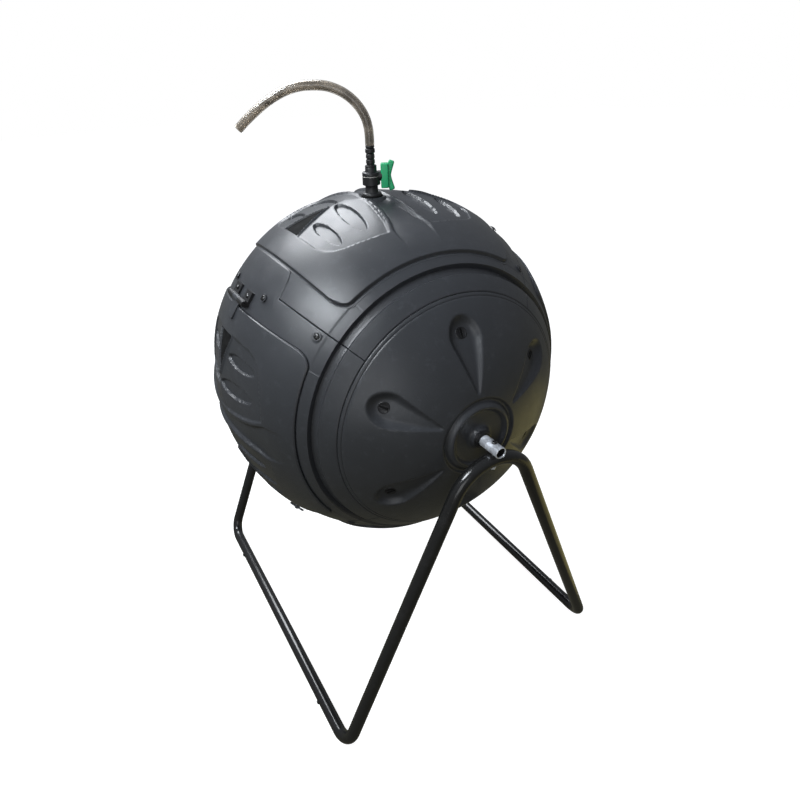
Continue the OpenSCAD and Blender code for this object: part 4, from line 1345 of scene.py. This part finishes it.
class BuildStage(bpy.types.Operator):
    """Pale floor and backdrop, soft lights and the camera"""

    bl_idname = "tumbler.stage"
    bl_label = "Stage"

    def execute(self, context):
        scene = context.scene
        scene.view_settings.view_transform = "Standard"
        camera = bpy.data.objects.new("camera", bpy.data.cameras.new("camera"))
        scene.collection.objects.link(camera)
        camera.data.lens = CAMERA_LENS
        camera.data.shift_x, camera.data.shift_y = CAMERA_SHIFT
        camera.data.clip_start, camera.data.clip_end = 0.02, 60.0
        camera.matrix_world = camera_matrix()
        scene.camera = camera
        self.surfaces(scene)
        softbox("key_softbox", (-1.75, -0.15, 2.75), (0.0, -0.05, 0.8), 1.7, 1.2, 88.0,
                (0.93, 0.96, 1.0))
        softbox("band_softbox", (0.30, -1.75, 2.75), (0.05, -0.1, 0.65), 1.1, 0.8, 72.0,
                (0.90, 0.95, 1.0))
        softbox("front_fill", (2.6, -1.9, 1.3), (0.0, 0.0, 0.6), 1.6, 1.6, 15.0, (0.97, 0.98, 1.0))
        warm = softbox("low_warm", (0.50, 0.80, 0.04), (0.2, 0.1, 0.45), 0.9, 0.6, 0.8,
                       (1.0, 0.86, 0.30))
        warm.visible_camera = False
        return {"FINISHED"}

    def surfaces(self, scene):
        """Floor, a dome round it, and the even light that the room gives."""
        size, floor_z = 12.0, -0.0008
        floor = bpy.data.meshes.new("floor")
        corners = [(x, y, floor_z) for x, y in ((-size, -size), (size, -size), (size, size), (-size, size))]
        floor.from_pydata(corners, [], [(0, 1, 2, 3)])
        floor.materials.append(stage_material("pale_floor", (0.30, 0.30, 0.30), 0.93))
        height = np.radians(np.linspace(-4.0, 90.0, 24))
        dome_points, dome_faces = turned(size * np.column_stack([np.sin(height), np.cos(height)]), 48)
        dome = bpy.data.meshes.new("backdrop")
        dome.from_pydata(dome_points.tolist(), [], dome_faces.tolist())
        dome.shade_smooth()
        dome.materials.append(stage_material("pale_backdrop", (0.0, 0.0, 0.0), 1.0))
        for mesh in (floor, dome):
            piece = bpy.data.objects.new(mesh.name, mesh)
            scene.collection.objects.link(piece)
            # The stage is seen, but the soft room light below is what lights the object
            piece.visible_diffuse = False
            piece.visible_glossy = False
        bpy.data.objects["backdrop"].visible_shadow = False
        world = bpy.data.worlds.new("room")
        world.use_nodes = True
        scene.world = world
        tree = world.node_tree
        background = next(node for node in tree.nodes if node.type == "BACKGROUND")
        place = tree.nodes.new("ShaderNodeTexCoord")
        split = tree.nodes.new("ShaderNodeSeparateXYZ")
        tree.links.new(place.outputs["Generated"], split.inputs["Vector"])
        height = spread(tree, split.outputs["Z"], -0.5, 0.6, 0.0, 1.0)
        room = blend_colours(tree, height, (0.15, 0.145, 0.11), (0.34, 0.36, 0.40))
        tree.links.new(room, background.inputs["Color"])
        background.inputs["Strength"].default_value = 0.85


# ---- Add-on ----


class TumblerPanel(bpy.types.Panel):
    """Sidebar panel that lists the pieces"""

    bl_idname = "VIEW3D_PT_tumbler"
    bl_label = "Compost Tumbler"
    bl_space_type = "VIEW_3D"
    bl_region_type = "UI"
    bl_category = "Tumbler"

    def draw(self, context):
        """Lists the sizes and colours, then a button for each operator."""
        for group in (context.scene.tumbler_drum, context.scene.tumbler_stand,
                      context.scene.tumbler_hose, context.scene.tumbler_finishes):
            box = self.layout.box()
            for name in group.__annotations__:
                box.prop(group, name)
        for operator in OPERATORS:
            self.layout.operator(operator.bl_idname)


GROUPS = {
    "tumbler_drum": DrumSizes,
    "tumbler_stand": StandSizes,
    "tumbler_hose": HoseSizes,
    "tumbler_finishes": Finishes,
}
OPERATORS = (
    BuildStage,
    BuildHose,
    BuildPanels,
    BuildFrontPanel,
    BuildDoor,
    BuildCaps,
    BuildVents,
    BuildAxle,
    BuildStand,
    BuildFasteners,
    BuildValve,
    DressNodes,
)


def register():
    """Registers the groups of sizes, the operators and the panel."""
    for group in GROUPS.values():
        bpy.utils.register_class(group)
    for name, group in GROUPS.items():
        setattr(bpy.types.Scene, name, PointerProperty(type=group))
    for operator in OPERATORS:
        bpy.utils.register_class(operator)
    bpy.utils.register_class(TumblerPanel)


def unregister():
    """Takes back what register did, in the opposite order."""
    bpy.utils.unregister_class(TumblerPanel)
    for operator in reversed(OPERATORS):
        bpy.utils.unregister_class(operator)
    for name in GROUPS:
        delattr(bpy.types.Scene, name)
    for group in reversed(GROUPS.values()):
        bpy.utils.unregister_class(group)


def main():
    """Builds everything in order."""
    register()
    for operator in OPERATORS:
        group, name = operator.bl_idname.split(".")
        getattr(getattr(bpy.ops, group), name)()


if __name__ == "__main__":
    main()
